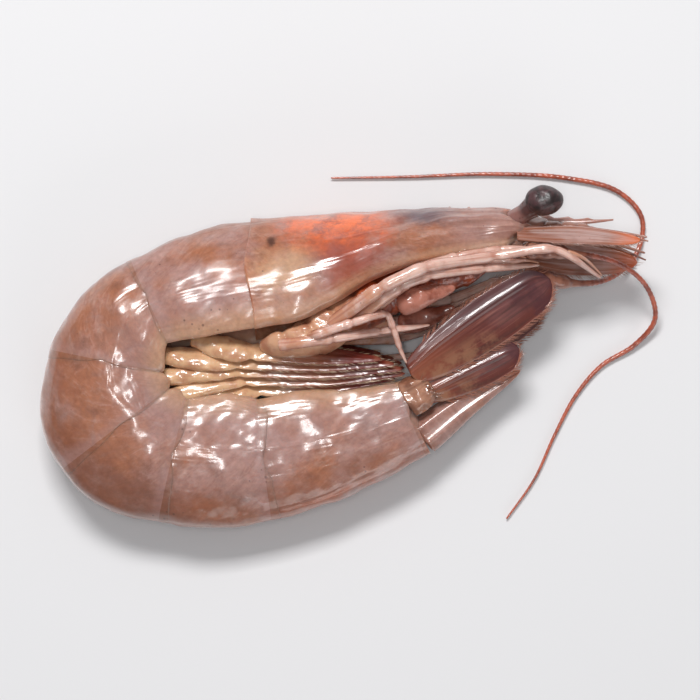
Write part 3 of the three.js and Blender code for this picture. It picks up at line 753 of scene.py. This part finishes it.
low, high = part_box("eye_right")
ORIGIN = np.array((low + high) / 2) / MM - in_head(*EYES["right"][:3])

# --- head shell

AROUND = 144
INNER_REACH = 0.55  # how much of a plate's length, from its front, its inner face leaves out
INNER_DROP = 0.8  # how far the inner face turns away from the outer one

around = np.arange(AROUND) / AROUND


def plate_profile(length, tuck, lip, rings=64):
    """Rings of a plate from its front, under the plate ahead, over its rear edge and back inside:
    (distance along, inset) for each, with 1 at inside for the rings that face inwards."""
    outer = np.linspace(-tuck, length + lip, rings)
    turn = np.linspace(0, np.pi, 6)[1:-1]
    edge = length + lip + 0.5 * SHELL * np.sin(turn)
    edge_inset = SHELL * (1 - np.cos(turn)) / 2
    back_in = np.linspace(length + lip, length * INNER_REACH, 10)
    distance = np.concatenate([outer, edge, back_in])
    deeper = INNER_DROP * shares(back_in) ** 0.5
    inset = np.concatenate([0 * outer, edge_inset, SHELL + deeper])
    inside = np.concatenate([0 * outer, shares(edge), 1 + 0 * back_in])
    return distance[:, None], inset[:, None], inside[:, None]


def head_relief(forward, right, rise):
    """Ridges and grooves of the head shell, as height in mm."""
    upper = ramp(rise, 0, 0.5)
    keel = 0.35 * bump(right, 0, 0.1) * upper * ramp(forward, 6, 18)
    beside = -0.16 * bump(np.abs(right), 0.3, 0.12) * upper * ramp(forward, 14, 26)
    neck_line = 27 - 8 * (0.9 - rise)
    cervical = -0.22 * bump(forward, neck_line, 1.6)
    cervical = cervical * ramp(rise, 0.05, 0.3) * ramp(0.9 - rise, 0, 0.3)
    branchial = 0.25 * bump(rise, -0.1, 0.25) * ramp(forward, 3, 10) * ramp(forward, 30, 20)
    liver = 0.3 * bump(forward, 30.5, 4) * bump(rise, 0.12, 0.12)
    margin = 0.25 * bump(rise, -0.93, 0.07)
    return keel + beside + cervical + branchial + liver + margin


def make_head_shell():
    right, rise = section(HEAD_SECTION, around)
    distance, inset, inside = plate_profile(HEAD_LENGTH, 0.0, 0.0, 150)
    # The rear edge of this plate is its start, so the lip there is made by widening its first rings. It
    # reaches furthest back at the sides.
    lip = (0.4 + 1.1 * bump(rise, -0.1, 0.5)) * ramp(distance, 3.5, 0) * (inside == 0)
    notch = 2.6 * bump(rise, 0.42, 0.2) - 1.3 * bump(rise, 0.02, 0.12) + 2.2 * ramp(-rise, 0.35, 1)
    forward = distance - lip - notch * ramp(distance, 30, HEAD_LENGTH)
    nose = 2.2 * ramp(distance / HEAD_LENGTH, 0.93, 1.03)
    flare = 0.2 * ramp(distance, 3.3, -0.5)
    base = head_skin(forward, right, rise, inset + nose - flare)
    lift = head_relief(forward, right, rise) * (1 - inside)
    lift = lift + 0.1 * wobble(base, 8, 3) + 0.04 * wobble(base, 3, 4)
    points = head_skin(forward, right, rise, inset + nose - flare - lift)
    level = (points - NECK_POINT) @ HEAD_UP
    build = Build().grid(points, along=forward, rise=rise, right=right, level=level, inside=inside)
    add_rostrum(build, **ROSTRUM)
    build.piece("carapace", "plate", head_look, "head_shell", name="head_shell_plate")


def add_rostrum(build, start, tip, tip_rise, depth, half_thickness, teeth, tooth):
    """The toothed blade: a thin upright leaf with a rib along each side."""
    forward = np.linspace(start - 2, tip, 260)
    t = np.clip((forward - start) / (tip - start), 0, 1)
    crest = head_back(start) + 0.2
    top = crest + (tip_rise - crest) * ramp(t, 0, 1)
    under = top - depth * (1 - t) - 0.25
    pitch = (tip - start) / (teeth + 1)
    reached = np.clip((forward - start) / pitch, 0, teeth)
    number, phase = np.floor(reached), reached % 1
    outline = np.where(phase < 0.72, (phase / 0.72) ** 1.6, (1 - phase) / 0.28)
    jag = outline * tooth * (1 - number / (teeth + 3)) * (number < teeth)
    top = top + jag * (forward > start) - 0.7 * ramp(forward, start + 3, start - 2)
    angle = turns(20)
    middle = (under + top - jag) / 2
    reach = np.where(np.sin(angle)[None] > 0, (top - middle)[:, None], (middle - under)[:, None])
    rise = middle[:, None] + np.sin(angle) * reach
    thick = half_thickness * (1 - 0.75 * t)[:, None]
    side = thick * np.sign(np.cos(angle)) * np.abs(np.cos(angle)) ** 1.5
    build.grid(in_head(forward[:, None], rise, side), along=forward[:, None], rise=1.0, right=1.0, level=rise)


make_head_shell()

# --- tail segments

REAR_RING = 62  # the ring of a plate, near its rear edge, that the flesh behind it starts from
PLUG_SHARE = 0.97
PLUG_BULGE = 0.9


def close_behind(build, ring):
    """The furrowed flesh in the mouth of the last plate."""
    middle = ring.mean(0)
    share = np.linspace(1, 0.02, 20)[:, None, None]
    flesh = middle + (ring - middle) * share * PLUG_SHARE
    bulge = PLUG_BULGE * (1 - share[..., 0] ** 2) + 0.15 * wobble(flesh, 2.5, 9)
    build.grid(flesh + bulge[..., None] * FAN_ALONG, caps=False, along=len(SOMITES) - 0.5, rise=-0.7)


def make_somite(number):
    """One segment's plate. Its rear edge overlaps the next one, bows out at the side plates and steps
    in at the hinge half way up."""
    length = SOMITES[number]["length"]
    right, rise = section(TAIL_SECTION, around)
    distance, inset, inside = plate_profile(length, 1.2, 0.5)
    hinge = -0.6 * bump(rise, 0.0, 0.2) + 0.6 * ramp(-rise, 0.3, 0.9) + 0.2 * ramp(rise, 0.5, 1)
    s = number + (distance + hinge * ramp(distance, 0.3 * length, length)) / length
    u = np.clip(s - number, 0, 1)
    arch = np.sin(np.pi * u)
    front = 0.05 * ramp(u, 0.2, 0) + 0.05 * (distance < 0)
    rear = 0.07 * ramp(u, 0.8, 1)
    crease = -0.15 * bump(rise, -0.3, 0.14) * arch
    sag = 0.7 * arch**0.7
    drawn_in = DRAWN_IN + inset + front - rear - 0.2 * arch**0.9
    base = tail_skin(s, right, rise, drawn_in, sag)
    lift = crease * (1 - inside) + 0.14 * wobble(base, 7, 10) + 0.035 * wobble(base, 2.6, 20)
    points = tail_skin(s, right, rise, drawn_in - lift, sag)
    build = Build().grid(points, along=s, rise=rise, inside=inside)
    if number == len(SOMITES) - 1:
        close_behind(build, points[REAR_RING])
    build.piece(f"somite_{number + 1}", "plate", shell_look, "shell")


for number in range(len(SOMITES)):
    make_somite(number)

# --- tail fan


def make_telson():
    """The pointed middle blade, with a groove between two keels."""
    path = path_in(in_fan, [(0.4, 3.1, 0), (8, 1.1, 0), (17.8, -0.3, 0)], 90)

    def relief(t, angle):
        keels = bump(np.abs(np.cos(angle)), 0.45, 0.16) - 0.8 * bump(np.cos(angle), 0, 0.25)
        return 0.3 * keels * np.sign(np.sin(angle)) * (1 - t) ** 0.5

    width = [(0, 2.9), (0.3, 2.5), (0.8, 1.1), (1, 0.25)]
    thickness = [(0, 2.1), (0.3, 1.7), (0.65, 0.9), (0.85, 0.5), (1, 0.2)]
    points = loft(path, width, thickness, (length_of(path), 0.5, 0.6), 48, relief=relief)
    along = len(SOMITES) + 0.9 * shares(path)[:, None]
    Build().grid(points, along=along, rise=0.3).piece("telson", "blade", shell_look, "shell")


def make_stalk(side, sign):
    """The knobbly stalk that carries two blades, with bristles round its rear end."""
    path = path_in(in_fan, [(0.4, -2.9, 2.4), (2.4, -3.2, 2.8), (4.8, -3.9, 3.1)], 40, sign)

    def ridges(t, angle):
        return 0.2 * np.cos(5 * angle + 2 * t) * ramp(t, 0, 0.3)

    width, thickness = [(0, 2.7), (0.5, 2.8), (1, 1.7)], [(0, 1.1), (0.5, 1.1), (1, 0.6)]
    points = loft(path, width, thickness, (4.8, 0.5, 0.8), 80, relief=ridges)
    points = uneven(points, 0.16, 2.2, 5, FAN_RIGHT)
    build = Build().grid(points, right=np.cos(turns(80)))
    rim = points[32, ::2]
    rng = np.random.default_rng(51)
    bristles = unit(rim - path[32]) + 2.0 * FAN_ALONG + 0.3 * rng.normal(size=rim.shape)
    build.hairs(rim, bristles, rng.uniform(0.9, 2.0, len(rim)), 0.06, inside=0.6)
    build.piece(f"uropod_stalk_{side}", "knob", knob_look, "shell")


BLADE_LEAN = 0.2  # how far the blades lean outwards, as a slope
BLADES = [
    dict(name="exopod_right", start=2.6, end=26.9, half_width=3.9, rise=-5.6, swing=11.4, right=3.6),
    dict(name="endopod_right", start=3.2, end=18.8, half_width=3.0, rise=-2.5, swing=3, right=2.2),
    dict(name="endopod_left", start=3.2, end=24.6, half_width=3.0, rise=-3.0, swing=12, right=-2.2),
    dict(name="exopod_left", start=3.6, end=26.0, half_width=3.8, rise=-5.2, swing=11, right=-3.5),
]


def make_blade(name, start, end, half_width, rise, swing, right):
    """A blade of the tail fan with a rib on both faces and a fringe round its free edges."""
    fold = np.tan(np.radians(swing))
    stops = [start + share * (end - start) for share in (0, 0.35, 0.7, 1)]
    path = path_in(in_fan, [(b, rise - b * fold, right) for b in stops], 110)
    t = shares(path)
    width = half_width * through([(0, 0.5), (0.2, 0.82), (0.55, 1), (0.88, 0.85), (1, 0.54)])(t)
    width = width * rounded(t, length_of(path), 0.4, 2.2)
    thickness = through([(0, 0.6), (0.3, 0.34), (1, 0.14)])(t)
    lean = BLADE_LEAN * unit(np.cross(path[-1] - path[0], UP))
    ribs = 0.5 if name.startswith("exopod") else 0.1

    def relief(t, angle):
        across = np.cos(angle)
        rib = 0.42 * bump(across, -ribs, 0.13) + 0.14 * bump(across, -ribs + 0.35, 0.1)
        return rib * np.sign(np.sin(angle)) * ramp(t, 1, 0.75)

    grid = tube(path, width, thickness, 64, up=UP + lean, relief=relief)
    build = Build().grid(grid, along=t[:, None], rise=-np.cos(turns(64)))
    for k, seed in ((0, 1), (32, 2)):
        build.fringe(grid[18:, k], path[18:], 7, 1.3, 0.045, seed, sweep=1.4)
    build.fringe(grid[-14:, 4], path[-14:], 12, 1.3, 0.045, 3, sweep=2.5)
    build.piece(f"uropod_{name}", "blade", fan_look, "fan")


make_telson()
for side, sign in SIDES:
    make_stalk(side, sign)
for blade in BLADES:
    make_blade(**blade)

# --- under the head shell

THORAX_FURROWS = 9


def make_thorax():
    """The flesh that carries the legs: a ridge of lumps with furrows between them."""
    path = path_in(in_head, [(f, -1.1 - head_belly(f), 0) for f in (0, 4, 8, 14, 20, 27, 34)], 160)
    t = shares(path)
    width = [(0, 2.6), (0.25, 3.7), (0.7, 3.2), (1, 1.8)]
    thickness = [(0, 1.2), (0.12, 1.9), (0.3, 3.2), (0.7, 2.8), (1, 1.5)]
    lumps = 0.94 + 0.1 * np.abs(np.sin(np.pi * THORAX_FURROWS * t)) ** 0.6
    points = loft(path, width, thickness, (34, 3, 3), 72, lumps, up=HEAD_UP)
    phase = THORAX_FURROWS * t[:, None] + 0.15 * np.sin(turns(72))
    furrows = -0.5 * (1 - np.abs(np.sin(np.pi * phase))) ** 2
    points = uneven(points, 0.2, 3.4, 6, HEAD_RIGHT) + furrows[..., None] * HEAD_RIGHT
    Build().grid(points, along=t[:, None]).piece("thorax", "flesh", flesh_look, "flesh")


def make_palp(side, sign):
    """A fold of flesh beside the mouth."""
    path = path_in(in_head, [(20.5, -7.0, 2.6), (24, -5.8, 3.9), (29, -4.4, 3.3)], 60, sign)
    width, thickness = [(0, 1.4), (0.4, 1.7), (1, 0.5)], [(0, 0.9), (0.4, 1.0), (1, 0.3)]
    points = uneven(loft(path, width, thickness, (9, 1, 0.6), 40), 0.13, 2.6, 12, HEAD_RIGHT)
    Build().grid(points).piece(f"jaw_palp_{side}", "fold", palp_look, "palp")


def make_face():
    """The front of the head, between the eyes."""
    path = path_in(in_head, [(35, 5.2, 0), (40, 5.6, 0), (44.5, 5.8, 0)], 50)
    width, thickness = [(0, 2.4), (0.7, 2.2), (1, 1.2)], [(0, 3.0), (0.7, 2.4), (1, 1.3)]
    points = loft(path, width, thickness, (9.5, 0.5, 1.5), 40, up=HEAD_UP)
    points = uneven(points, 0.2, 2.2, 7, HEAD_UP)
    Build().grid(points).piece("head", "face", stalk_look, "stalk", name="face")


make_thorax()
for side, sign in SIDES:
    make_palp(side, sign)
make_face()

# --- eyes


def make_eye(side, forward, rise, right, root):
    """A black ball on a stalk that widens to a cup under it."""
    polar = np.linspace(0.02, np.pi - 0.02, 40)[:, None]
    out, height = np.sin(polar), np.cos(polar) + 0 * turns(64)
    ball = np.stack([np.cos(turns(64)) * out, np.sin(turns(64)) * out, height], -1)
    points = in_head(forward, rise, right) + ball * EYE_HALF
    # The dried ball has sunk in a little on top.
    dent = np.linalg.norm((ball - unit(np.array([-0.35, 0.3, 0.9]))) * [1.0, 1.9, 1.0], axis=-1)
    points = uneven(points, 0.06, 2.4, 8, ball) - 0.3 * bump(dent, 0, 0.5)[..., None] * ball
    Build().grid(points).piece(f"eye_{side}", "ball", eye_look, "eye")
    path = smooth_path([in_head(*root), in_head(forward - 0.8, rise - 0.1, right * 0.95)], 40)
    t = shares(path)
    radius = through([(0, 1.6), (0.4, 1.4), (0.8, 1.75), (1, 1.95)])(t)
    build = Build().grid(tube(path, radius, radius, 32, up=HEAD_UP), along=t[:, None])
    build.piece(f"eyestalk_{side}", "cup", cup_look, "stalk")


for side, eye in EYES.items():
    make_eye(side, *eye)

# --- feelers and scales


def make_scale(side, sign):
    """A thin leaf with a stout outer rib that ends in a spine, and a fringe along its inner edge."""
    path = path_in(in_head, [(38.5, 3.8, 2.9), (47.5, 2.8, 3.7), (56.3, 1.5, 3.4)], 90, sign)
    t = shares(path)
    width = through([(0, 1.5), (0.4, 2.6), (0.8, 2.0), (1, 0.8)])(t) * rounded(t, 18, 0.4, 1.6)
    thickness = through([(0, 0.6), (0.4, 0.34), (1, 0.16)])(t)

    def relief(t, angle):
        return 0.3 * bump(np.cos(angle), -0.8 * sign, 0.16) * np.sign(np.sin(angle))

    grid = tube(path, width, thickness, 48, up=0.6 * HEAD_UP + 0.8 * sign * HEAD_RIGHT, relief=relief)
    build = Build().grid(grid, along=t[:, None], rise=np.cos(turns(48)))
    build.fringe(grid[25:, 0 if sign > 0 else 24], path[25:], 7, 1.2, 0.04, 11, sweep=1.2)
    build.piece(f"antennal_scale_{side}", "leaf", scale_look, "scale")


def make_antennule(side, sign):
    """Three stout joints and two short whips."""
    stops = [(42.5, 5.6, 1.2), (46, 5.3, 1.4), (49.5, 4.7, 1.6), (53.5, 3.8, 2.0), (57.5, 2.5, 2.6)]
    path = path_in(in_head, stops, 120, sign)
    t = shares(path)
    joints = sum(bump(t, place, 0.018) for place in (0.17, 0.32, 0.44))
    stem = through([(0, 1.1), (0.4, 0.85), (0.5, 0.42), (1, 0.16)])(t)
    stem = stem * (1 - 0.22 * joints) * rounded(t, 15, 0.8, 0.3)
    build = Build().grid(tube(path, stem, stem, 20, up=HEAD_RIGHT), inside=0.5 * joints[:, None])
    away = shares(path[60:])
    second = path[60:] + away[:, None] * (0.5 * sign * HEAD_RIGHT - 0.9 * HEAD_UP)
    thin = 0.36 - 0.24 * away
    build.grid(tube(second, thin, thin, 12, up=HEAD_RIGHT))
    build.piece(f"antennule_{side}", "stem", stalk_look, "stalk")


FEELERS = dict(
    right=(
        [(39.5, 1.2, 3.0), (45, 0.4, 3.4)],
        [(42, 13.6, 9.0), (46.8, 10.0, 5.2), (48.2, 5.2, 2.2), (45.2, 1.4, 0.8), (40.4, -1.6, 0.5),
         (36.6, -6.0, 0.5), (33.4, -12.0, 0.5), (30.4, -18.5, 0.5), (26.2, -24.5, 0.5)],
    ),
    left=(
        [(39.5, 0.4, -1.6), (43, -1.2, -2.0)],
        [(38, 10.6, 5.6), (42.5, 12.0, 2.4), (45.8, 15.5, 0.7), (46.4, 20.5, 0.5), (42.8, 24.4, 0.5),
         (35, 26.4, 0.5), (24, 27.0, 0.5), (12, 26.6, 0.5), (0, 26.4, 0.5)],
    ),
)


def make_feeler(side):
    """A long whip of many short rings on a stout foot."""
    start, loop = FEELERS[side]
    path = smooth_path([in_head(*stop) for stop in start] + [np.array(stop, float) for stop in loop], 600)
    t = shares(path)
    radius = through([(0, 1.3), (0.08, 1.1), (0.12, 0.5), (0.5, 0.38), (1, 0.14)])(t)
    rings = 0.05 * np.sin(t * length_of(path) * 2 * np.pi / 0.85) * ramp(t, 0.12, 0.14)
    foot = 0.12 * sum(bump(t, place, 0.008) for place in (0.03, 0.065, 0.1))
    radius = radius * (1 + rings - foot) * rounded(t, length_of(path), 1.0, 0.4)
    build = Build().grid(tube(path, radius, radius, 12), along=t[:, None])
    build.piece(f"antenna_{side}", "whip", feeler_look, "feeler")


for side, sign in SIDES:
    make_scale(side, sign)
    make_antennule(side, sign)
    make_feeler(side)

# --- legs


def walk(root, segments):
    """The joints of a limb. Segments are (length, heading in plan, slope)."""
    points = [root]
    for length, heading, slope in segments:
        h, s = np.radians([heading, slope])
        step = np.array([np.cos(h) * np.cos(s), np.sin(h) * np.cos(s), np.sin(s)])
        points.append(points[-1] + length * step)
    return points


def crisp(points):
    """Stops that keep a path straight between its joints."""
    found = [points[0]]
    for before, point, after in zip(points, points[1:], points[2:]):
        found += [point + 0.12 * (before - point), point + 0.12 * (after - point)]
    return [*found, points[-1]]


def resting_on_model(path, node, radius):
    """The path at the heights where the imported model's limb lies."""
    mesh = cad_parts[node].data
    tree = BVHTree.FromPolygons([v.co for v in mesh.vertices], [tuple(p.vertices) for p in mesh.polygons])
    heights = []
    for x, y, _ in (path + ORIGIN) * MM:
        hit = tree.ray_cast(Vector((x, y, 1.0)), Vector((0, 0, -1)))[0]
        heights.append(np.nan if hit is None else hit.z / MM - ORIGIN[2])
    heights = np.array(heights)
    known = ~np.isnan(heights)
    places = np.arange(len(path))
    heights = np.interp(places, places[known], heights[known]) - radius
    kernel = np.hanning(15) / np.hanning(15).sum()
    heights = np.convolve(np.pad(heights, 7, mode="edge"), kernel, mode="valid")
    return np.column_stack([path[:, :2], heights])


LIMBS = [
    dict(name="jaw_leg", radius=0.8, root=(19.6, -4.1), hairy=True,
         right=[(5.5, 40, -2), (5.9, 17, -6), (6.4, 10, -10), (5.3, 2, -8)],
         left=[(10.5, 5, -32), (7.8, 22, -6), (8.4, 8, 0)]),
    dict(name="leg_1", radius=0.8, root=(16.1, -7.2), claw=True,
         right=[(7.7, 38, -2), (4.6, 20, -6), (6.8, 9, -10), (6.3, 4, -8)],
         left=[(11.2, 8, -37), (8.2, 26, -6), (6.3, 12, 0)]),
    dict(name="leg_2", radius=0.85, root=(13.3, -8.6), claw=True,
         right=[(9.2, 36, -4), (4.6, 20, -8), (8.1, 7, -10), (8.4, 4, -8)],
         left=[(12.8, 6, -36), (10, 22, -5), (8.4, 12, 0)]),
    dict(name="leg_3", radius=0.9, root=(10.2, -9.0), claw=True,
         right=[(9.5, 36, -2), (7.3, 25, -6), (10.3, 9, -10), (8.8, 8, -8), (8.6, -31, -12)],
         left=[(13.2, 0, -39), (12.5, 18, -4), (11.6, 14, 0)]),
    dict(name="leg_5", radius=0.75, root=(2.8, -11.6),
         right=[(8.1, 7, -8), (7.1, 9, -10), (7.4, 7, -8)],
         left=[(12.9, -12, -43), (6, -2, -7), (3.1, -8, 0)]),
    dict(name="leg_4", radius=0.65, root=(6.7, -10.7),
         right=[(7.4, 18, -4), (5.1, 16, -6), (2.5, -65, -14), (3.3, -72, -18), (2.5, -65, -18)],
         left=[(13.3, -8, -40), (7.7, 6, -6), (4.3, 4, 0)]),
]
limb_taper = through([(0, 1.1), (0.3, 0.95), (0.6, 0.75), (0.85, 0.6), (1, 0.2)])


def add_claw(build, path, radius):
    """The second finger, beside the end of a leg."""
    finger = path[int(0.84 * len(path)) :]
    out = unit(np.cross(UP, unit(finger[-1] - finger[0])))
    t = shares(finger)
    finger = finger + out * radius * (0.35 + 0.6 * np.sin(np.pi * t[:, None]))
    thin = radius * np.linspace(0.42, 0.14, len(finger)) * rounded(t, 4, 0.3, 0.3)
    build.grid(tube(finger, thin, thin, 12), inside=0.2)


def add_bristles(build, path, count=160):
    """Bristles along both edges of a leg."""
    rng = np.random.default_rng(41)
    where = rng.uniform(0.1, 0.97, count)
    tangent = unit(sample(where, shares(path), np.gradient(path, axis=0)))
    out = unit(np.cross(UP, tangent)) * rng.choice([-1, 1], (count, 1))
    roots = sample(where, shares(path), path)
    build.hairs(roots, out + 1.3 * tangent, rng.uniform(1.0, 1.9, count), 0.035)


def make_limb(node, path, segments, radius, claw, hairy):
    """A jointed leg: it narrows at each joint and swells behind it. Claws end in two fingers."""
    t = shares(path)
    lengths = np.array([segment[0] for segment in segments])
    places = (np.cumsum(lengths) / lengths.sum())[:-1]
    joints = sum(bump(t, place, 0.012) for place in places)
    knees = sum(bump(t, place - 0.035, 0.025) for place in places)
    thick = radius * limb_taper(t) * (1 - 0.2 * joints + 0.14 * knees) * rounded(t, lengths.sum(), 0.3, 0.3)
    skin = tube(path, thick * 1.08, thick * 0.95, 20)
    build = Build().grid(skin, along=t[:, None], right=np.cos(turns(20)), inside=0.5 * joints[:, None])
    if claw:
        add_claw(build, path, radius)
    if hairy:
        add_bristles(build, path)
    build.piece(node, "limb", leg_look, "leg")


def make_limbs(name, radius, root, right, left, claw=False, hairy=False):
    """A pair of legs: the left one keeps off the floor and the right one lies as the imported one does."""
    for side, out, segments in (("left", -1.7, left), ("right", 2.2, right)):
        node = f"{name}_{side}"
        stops = crisp(walk(in_head(*root, out), segments))
        if side == "left":
            for stop in stops:
                stop[2] = max(stop[2], radius + 0.1)
        path = smooth_path(stops, 150)
        if side == "right":
            path = resting_on_model(path, node, radius * limb_taper(shares(path)))
        make_limb(node, path, segments, radius, claw, hairy)


for limb in LIMBS:
    make_limbs(**limb)

# --- swimmerets

LANES = dict(bend=(0.9, -5.2), end=(-0.6, -3.4), rise=3.0, drop=0.5, lean=35, left_shift=0.8)
SWIMMERETS = [
    dict(joint=0.75, stalk=5.5, tip=7.5),
    dict(joint=1.45, stalk=6.5, tip=9.4),
    dict(joint=2.35, stalk=7.0, tip=10.6),
    dict(joint=3.3, stalk=7.5, tip=11.0),
    dict(joint=4.15, stalk=7.0, tip=9.6),
]


def make_swimmeret(number, side, sign, joint, stalk, tip):
    """A stout stalk and a thin blade with a rib and a fringe."""
    centre, (_, back, _) = tail_frame(joint)
    root = centre + back * (1.2 - TAIL["belly"](joint))
    root[2] = centre[2] + LANES["rise"] * sign
    order = number / (len(SWIMMERETS) - 1)
    level = root[2] + 0.9 - LANES["drop"] * number
    shift = LANES["left_shift"] * (sign < 0)
    bend = np.array([root[0] + stalk, np.interp(order, [0, 1], LANES["bend"]) + shift, level])
    end = np.array([tip, np.interp(order, [0, 1], LANES["end"]) + shift, level - 0.3])
    path = smooth_path([root, bend, (bend + end) / 2, end], 120)
    t = shares(path)

    def relief(t, angle):
        rib = 0.2 * bump(np.cos(angle), 0.3, 0.2) - 0.12 * bump(np.cos(angle), -0.2, 0.15)
        return rib * np.sign(np.sin(angle)) * ramp(t, 0.36, 0.45) * ramp(t, 1, 0.8)

    lean = np.radians(LANES["lean"])
    up = np.array([0, np.sin(lean), np.cos(lean)])
    width = [(0, 1.3), (0.2, 2.0), (0.35, 1.6), (0.7, 1.6), (1, 0.4)]
    thickness = [(0, 1.1), (0.2, 1.05), (0.35, 0.45), (1, 0.14)]
    neck = 1 - 0.2 * bump(t, 0.33, 0.02)
    grid = loft(path, width, thickness, (length_of(path), 0.6, 1.2), 44, neck, up=up, relief=relief)
    lumps = 0.12 * ramp(t, 0.5, 0.3) + 0.03
    grid = uneven(grid, lumps[:, None], 2.8, 30 + number, up)
    build = Build().grid(grid, along=t[:, None])
    for k in (0, 22):
        build.fringe(grid[50:, k], path[50:], 4, 0.9, 0.03, number + k, sweep=2.2)
    build.piece(f"swimmeret_{number + 1}_{side}", "paddle", swimmeret_look, "swimmeret")


for number, swimmeret in enumerate(SWIMMERETS):
    for side, sign in SIDES:
        make_swimmeret(number, side, sign, **swimmeret)

# --- studio

FLOOR_HALF = 2.0
MARGIN = 1.12  # how much wider the view is than the prawn
LENS = 180


def make_floor():
    mesh = bpy.data.meshes.new("floor")
    corners = [(-1, -1), (1, -1), (1, 1), (-1, 1)]
    mesh.from_pydata([(x * FLOOR_HALF, y * FLOOR_HALF, 0) for x, y in corners], [], [(0, 1, 2, 3)])
    material = bpy.data.materials.new("floor")
    material.use_nodes = True
    shader = material.node_tree.nodes["Principled BSDF"].inputs
    shader["Base Color"].default_value = srgb(226, 225, 226)
    shader["Roughness"].default_value = 0.7
    mesh.materials.append(material)
    put_in_scene("floor", mesh)


def softbox(name, place, size, power):
    """An oblong area light that faces the prawn."""
    data = bpy.data.lights.new(name, "AREA")
    data.shape = "RECTANGLE"
    data.size, data.size_y = size
    data.energy = power
    light = put_in_scene(name, data)
    light.location = place
    light.rotation_euler = (-Vector(place)).to_track_quat("-Z", "Y").to_euler()


def make_studio():
    world = bpy.data.worlds.new("studio")
    world.use_nodes = True
    background = world.node_tree.nodes["Background"].inputs
    background["Color"].default_value = (0.95, 0.97, 1.0, 1.0)
    background["Strength"].default_value = 0.28
    scene.world = world
    softbox("key", (-0.08, 0.4, 0.58), (0.26, 0.14), 3.9)
    softbox("top", (-0.03, 0.0, 0.7), (0.18, 0.05), 0.8)
    softbox("fill", (0.4, -0.8, 0.4), (0.6, 0.4), 1.3)
    scene.view_settings.view_transform = "Standard"


def make_camera():
    """Straight above, as the photograph looks, with the prawn filling most of the width."""
    data = bpy.data.cameras.new("camera")
    data.lens = LENS
    data.clip_end = 10
    low, high = cad_box
    height = (high.x - low.x) * MARGIN * data.lens / data.sensor_width + high.z / 2
    camera = put_in_scene("camera", data)
    camera.location = ((low.x + high.x) / 2, (low.y + high.y) / 2, height)
    bpy.context.scene.camera = camera


make_floor()
make_studio()
make_camera()
